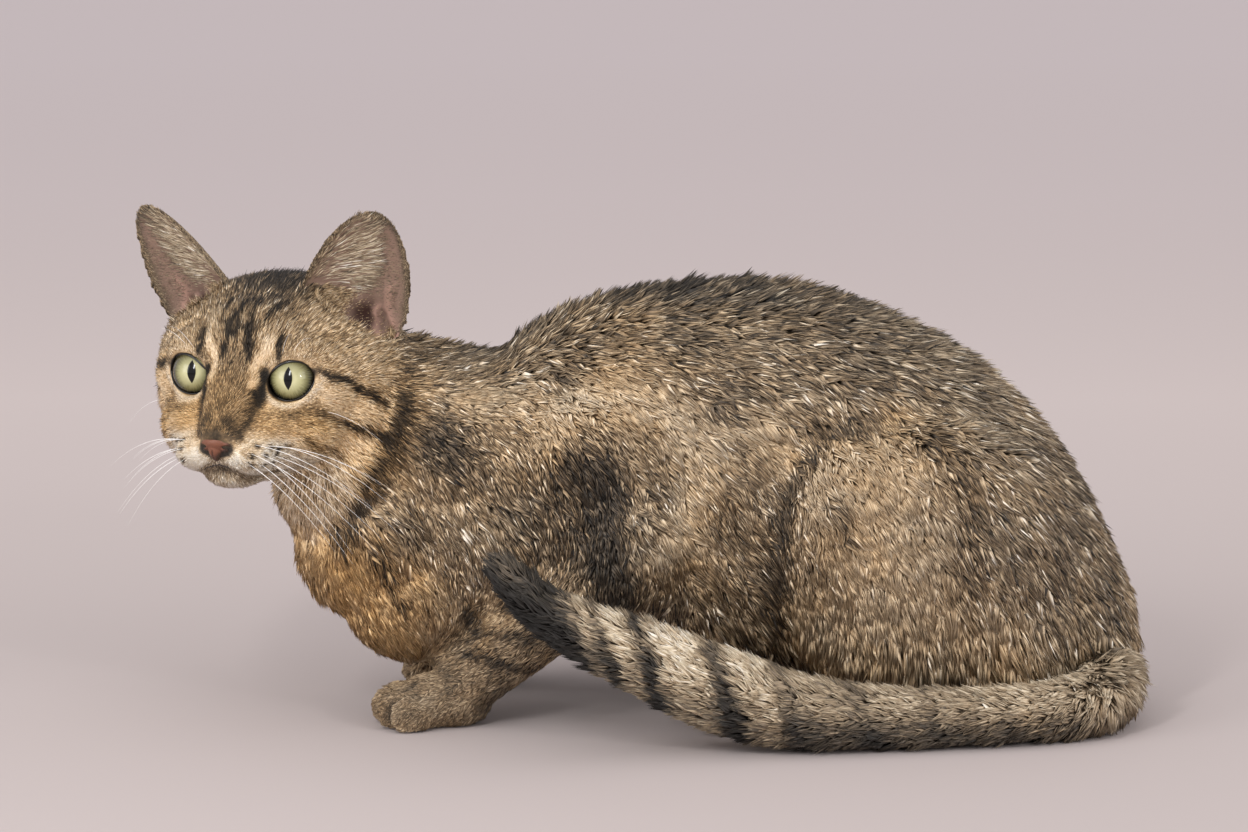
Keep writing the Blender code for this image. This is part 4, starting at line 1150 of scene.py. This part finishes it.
def ringTube(centres, radii, sides=8, closed=True):
    # A round tube along a row of places, closed on itself or with pointed ends.
    centres = np.asarray(centres, float)
    radii = np.asarray(radii, float)
    count = len(centres)
    ahead = np.roll(centres, -1, 0) - np.roll(centres, 1, 0)
    if not closed:
        ahead[0], ahead[-1] = centres[1] - centres[0], centres[-1] - centres[-2]
    ahead = unit(ahead)
    side = np.zeros_like(ahead)
    current = unit(np.cross(ahead[0], (0.3, 0.2, 0.9)))
    for i in range(count):
        current = unit(current - ahead[i] * (current @ ahead[i]))
        side[i] = current
    other = np.cross(ahead, side)
    angles = np.linspace(0, 2 * math.pi, sides, endpoint=False)
    rounded = side[:, None] * np.cos(angles)[None, :, None] + other[:, None] * np.sin(angles)[None, :, None]
    points = (centres[:, None] + radii[:, None, None] * rounded).reshape(-1, 3)
    faces = []
    for i in range(count if closed else count - 1):
        a, b = i * sides, ((i + 1) % count) * sides
        for j in range(sides):
            k = (j + 1) % sides
            faces += [(a + j, a + k, b + k), (a + j, b + k, b + j)]
    if not closed:
        for j in range(1, sides - 1):
            faces.append((0, j + 1, j))
            base = (count - 1) * sides
            faces.append((base, base + j, base + j + 1))
    return points, np.array(faces)


lidForm = {"points": 48, "thick": 0.00038, "thicker": 0.00014, "wider": 0.0004, "taller": 0.0002,
           "tear": 0.0026, "drop": 0.0012, "proud": 0.0005}


def buildLids():
    # A dark moist rim round each eye, drawn out to a point at the inner corner.
    material = shadedMaterial("lidRim", 0.32, (0.012, 0.010, 0.009), 2600, 0.8, 0.0001, gloss=0.3)
    turns = np.linspace(0, 2 * math.pi, lidForm["points"], endpoint=False)
    for side, middle, out, across in eyeFrames():
        row = []
        for a in turns:
            inward = max(0.0, -side * math.cos(a))
            x = math.cos(a) * (eyeForm["wide"] + lidForm["wider"] + lidForm["tear"] * inward ** 6)
            y = math.sin(a) * (eyeForm["tall"] + lidForm["taller"]) * (1 - 0.10 * inward ** 3)
            y += eyeForm["slant"] * side * x - lidForm["drop"] * inward ** 5
            far = math.sqrt(max(0.0, (eyeForm["radius"] + lidForm["proud"]) ** 2 - x * x - y * y))
            row.append(middle + out * far + across * x + np.array([0, 0, y]))
        thick = lidForm["thick"] + lidForm["thicker"] * np.sin(turns)
        points, faces = ringTube(fromHead(row), thick)
        rim = makeMesh("lid_" + ("left" if side > 0 else "right"), points, faces)
        rim.data.materials.append(material)
        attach(rim, "root")
    print("lids")


# The nose leather: its forms in mm in the head's frame, each a centre and a size.
noseForm = {
    "blobs": [((31.4, 0, -25.3), (6.8, 6.4, 4.0)), ((31.2, 4.4, -26.8), (4.8, 3.1, 3.5)),
              ((31.2, -4.4, -26.8), (4.8, 3.1, 3.5)), ((32.4, 0, -28.6), (5.2, 3.1, 4.4)),
              ((31.6, 0, -31.6), (4.0, 1.5, 2.8))],
    "nostril": [(37.4, 3.3, -28.6), (36.6, 4.6, -27.6), (35.2, 6.0, -27.4), (33.4, 7.2, -28.4)],
    "dent": (1.5, 0.4, -0.1), "crease": 0.5, "voxel": 0.00035, "rounds": 6,
    "colour": (0.19, 0.074, 0.044), "edge": (0.026, 0.018, 0.014),
}


def noseMaterial():
    material, tree, shader = newMaterial("noseLeather", 0.42)
    cells = addNode(tree, "ShaderNodeTexVoronoi", {"Scale": 1500, "Vector": objectPlace(tree)})
    addBump(tree, shader, cells.outputs["Distance"], 0.35, 0.0003)
    colour = mixColours(tree, readAttribute(tree, "shade"), noseForm["colour"], noseForm["edge"])
    fill(tree, shader, {"Base Color": colour, "Specular IOR Level": 0.3})
    return material


def buildNose():
    parts = []
    for centre, size in noseForm["blobs"]:
        bpy.ops.mesh.primitive_uv_sphere_add(segments=32, ring_count=16, radius=1)
        parts.append(bpy.context.active_object)
        movePoints(parts[-1], fromHead((readMesh(parts[-1].data)[0] * size + centre) * mm))
    nose = joined(parts, "noseLeather")
    fuse(nose, noseForm["voxel"], noseForm["rounds"])
    local = toHead(readMesh(nose.data)[0]) / mm
    shade = np.zeros(len(local))
    for side in (1, -1):
        mirror = np.array([1, side, 1])
        dent = fadeOut(lineDistance(local, np.array(noseForm["nostril"]) * mirror), 0.4, 1.5)
        shade = np.maximum(shade, dent)
        local -= np.array(noseForm["dent"]) * mirror * dent[:, None]
    crease = fadeOut(np.abs(local[:, 1]), 0.1, 0.6) * smoothStep(-local[:, 2], 27.5, 29.5)
    shade = np.maximum(shade, 0.7 * crease)
    local[:, 0] -= noseForm["crease"] * crease
    half = 6.9 - 6.2 * smoothStep(-local[:, 2], 25.2, 33.5)
    shade = np.maximum(shade, 0.9 * smoothStep(np.abs(local[:, 1]) - half, -2.0, 0.6))
    shade = np.maximum(shade, 0.8 * smoothStep(local[:, 2], -23.8, -22.4))
    movePoints(nose, fromHead(local * mm))
    bpy.ops.object.shade_smooth()
    setAttribute(nose, "shade", shade)
    nose.data.materials.append(noseMaterial())
    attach(nose, "root")
    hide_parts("nose")
    print("nose leather")


# Whiskers, in mm: droop of each row of the lip, and how much shorter those on the far side are.
whiskerForm = {"thick": 0.165, "browThick": 0.7, "long": (44, 66), "far": 0.62, "bend": (-0.16, 0, -0.40),
               "droops": (0.02, 0.24, 0.46), "points": 14, "sunk": 1.0}
browHairs = [((9, 22, 13), (0.55, 0.35, 0.9), 26), ((7, 26, 13), (0.4, 0.55, 0.85), 22),
             ((2, 42, -14), (-0.35, 0.9, -0.2), 24)]


def whiskerPaths():
    # The root, direction, length and thickness of each whisker.
    pick = np.random.default_rng(5)
    found = []
    for side in (1, -1):
        mirror, thick = np.array([1, side, 1]), whiskerForm["thick"]
        for index, spot in enumerate(whiskerSpots):
            droop = whiskerForm["droops"][(index > 3) + (index > 6)] + pick.uniform(-0.07, 0.07)
            aim = unit(np.array([-0.10 + pick.uniform(-0.25, 0.25), side * 0.9, -droop]))
            long = pick.uniform(*whiskerForm["long"]) * (1 if side > 0 else whiskerForm["far"])
            found.append((np.array(spot) * mirror, aim, long, thick))
        for spot, aim, long in browHairs:
            aim = unit(np.array(aim) * mirror)
            found.append((np.array(spot) * mirror, aim, long, thick * whiskerForm["browThick"]))
    return found


def buildWhiskers():
    material = shadedMaterial("whisker", 0.35, (0.93, 0.91, 0.88), 260, 0.25, 0.00002)
    t = np.linspace(0, 1, whiskerForm["points"])[:, None]
    taper = np.minimum(0.45 + 3 * t[:, 0], 1) * (1 - 0.85 * t[:, 0])
    bend = np.array(whiskerForm["bend"])
    meshes = []
    for root, aim, long, thick in whiskerPaths():
        path = root - aim * whiskerForm["sunk"] + aim * long * t + bend * long * t ** 2
        tube, faces = ringTube(path * mm, thick * taper * mm, 6, False)
        meshes.append((fromHead(tube), faces))
    whiskers = makeMesh("whiskers", *stacked(meshes))
    whiskers.data.materials.append(material)
    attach(whiskers, "root")
    print("whiskers", len(meshes))


lipForm = {"thick": 0.55, "thinner": 0.75, "points": 26, "evened": 6}


def buildLips(fields):
    # The dark edge of the mouth and the groove below the nose, laid on the skin.
    material = shadedMaterial("lip", 0.45, (0.030, 0.020, 0.018), 1800, 0.9, 0.0001)
    tree = BVHTree.FromPolygons([Vector(p) for p in fields["points"]], fields["faces"].tolist())
    count = lipForm["points"]
    shrink = 1 - lipForm["thinner"] * np.linspace(0, 1, count) ** 2
    meshes = []
    for line, _ in mouthLines():
        path = fromHead(curveAlong(line, count) * mm)
        path = np.array([tree.find_nearest(Vector(p))[0] for p in path])
        for _ in range(lipForm["evened"]):
            path[1:-1] = (path[:-2] + 2 * path[1:-1] + path[2:]) / 4
        meshes.append(ringTube(path, lipForm["thick"] * mm * shrink, 8, False))
    lips = makeMesh("lips", *stacked(meshes))
    lips.data.materials.append(material)
    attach(lips, "root")
    print("lips")


# The floor pales with distance, with painted shade darkest near the cat; the lamps: place, energy, wide,
# tall.
stageForm = {
    "floor": [(0.0, (0.45, 0.392, 0.380)), (0.08, (0.52, 0.453, 0.437)), (0.20, (0.70, 0.610, 0.585)),
              (0.45, (0.74, 0.650, 0.640)), (1.0, (0.76, 0.672, 0.672))],
    "size": 60, "world": (0.93, 0.90, 0.92), "worldLight": 0.76, "aim": (0, 0, 0.1),
    "lamps": {
        "window": ((-0.36, -0.87, 0.70), 4.0, 0.09, 0.40),
        "above": ((-0.2, -0.5, 2.3), 6, 2.0, 2.0),
        "left": ((-1.75, -1.15, 0.75), 15.5, 1.2, 1.2),
        "right": ((1.45, -1.35, 0.85), 13, 1.2, 1.2),
        "glint": ((1.02, -1.22, 0.62), 3.2, 0.12, 0.12),
    },
}


def buildStage():
    material, tree, shader = newMaterial("floor", 0.9)
    parts = addNode(tree, "ShaderNodeSeparateXYZ", {0: objectPlace(tree)})
    # painted shade: the floor darker near the cat and camera, paler far off
    away = mathNode(tree, "MULTIPLY", mathNode(tree, "ADD", parts.outputs[1], 0.5), 0.125, clamp=True)
    fill(tree, shader, {"Base Color": rampNode(tree, away, stageForm["floor"])})
    bpy.ops.mesh.primitive_plane_add(size=stageForm["size"])
    floor = bpy.context.active_object
    floor.name = "floor"
    floor.data.materials.append(material)
    for name, (place, energy, wide, tall) in stageForm["lamps"].items():
        lamp = bpy.data.lights.new(name, "AREA")
        lamp.shape = "RECTANGLE"
        lamp.size, lamp.size_y, lamp.energy = wide, tall, energy
        obj = bpy.data.objects.new(name, lamp)
        obj.location = place
        obj.rotation_mode = "QUATERNION"
        back = Vector(place) - Vector(stageForm["aim"])
        obj.rotation_quaternion = back.to_track_quat("Z", "Y")
        bpy.context.collection.objects.link(obj)
    world = bpy.data.worlds.new("studio")
    bpy.context.scene.world = world
    world.use_nodes = True
    sky = world.node_tree.nodes["Background"]
    sky.inputs[0].default_value = (*stageForm["world"], 1)
    sky.inputs[1].default_value = stageForm["worldLight"]
    bpy.context.scene.view_settings.view_transform = "Standard"
    print("floor and lights")


shot = {"aim": (-0.0078, 0.0141, 0.1387), "distance": 1.7, "raise": 8.0, "lens": 104.33}


def buildCamera():
    raised = math.radians(shot["raise"])
    data = bpy.data.cameras.new("camera")
    data.lens = shot["lens"]
    data.sensor_width = 36
    data.clip_start, data.clip_end = 0.05, 100
    camera = bpy.data.objects.new("camera", data)
    back = Vector((0, -math.cos(raised), math.sin(raised)))
    camera.location = Vector(shot["aim"]) + back * shot["distance"]
    camera.rotation_mode = "QUATERNION"
    camera.rotation_quaternion = (-back).to_track_quat("-Z", "Y")
    bpy.context.collection.objects.link(camera)
    bpy.context.scene.camera = camera


colourGroup = coatGroup()
grainNodes = grainGroup()
skin, fields = buildSkin(colourGroup)
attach(skin, "root")
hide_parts(*[n for n in fleshNodes if n != "nose"])
for piece in buildCoat(fields, coatMaterial(colourGroup)):
    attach(piece, "root")
buildEyes()
buildLids()
buildNose()
buildLips(fields)
buildWhiskers()
buildStage()
buildCamera()
print("pieces done")
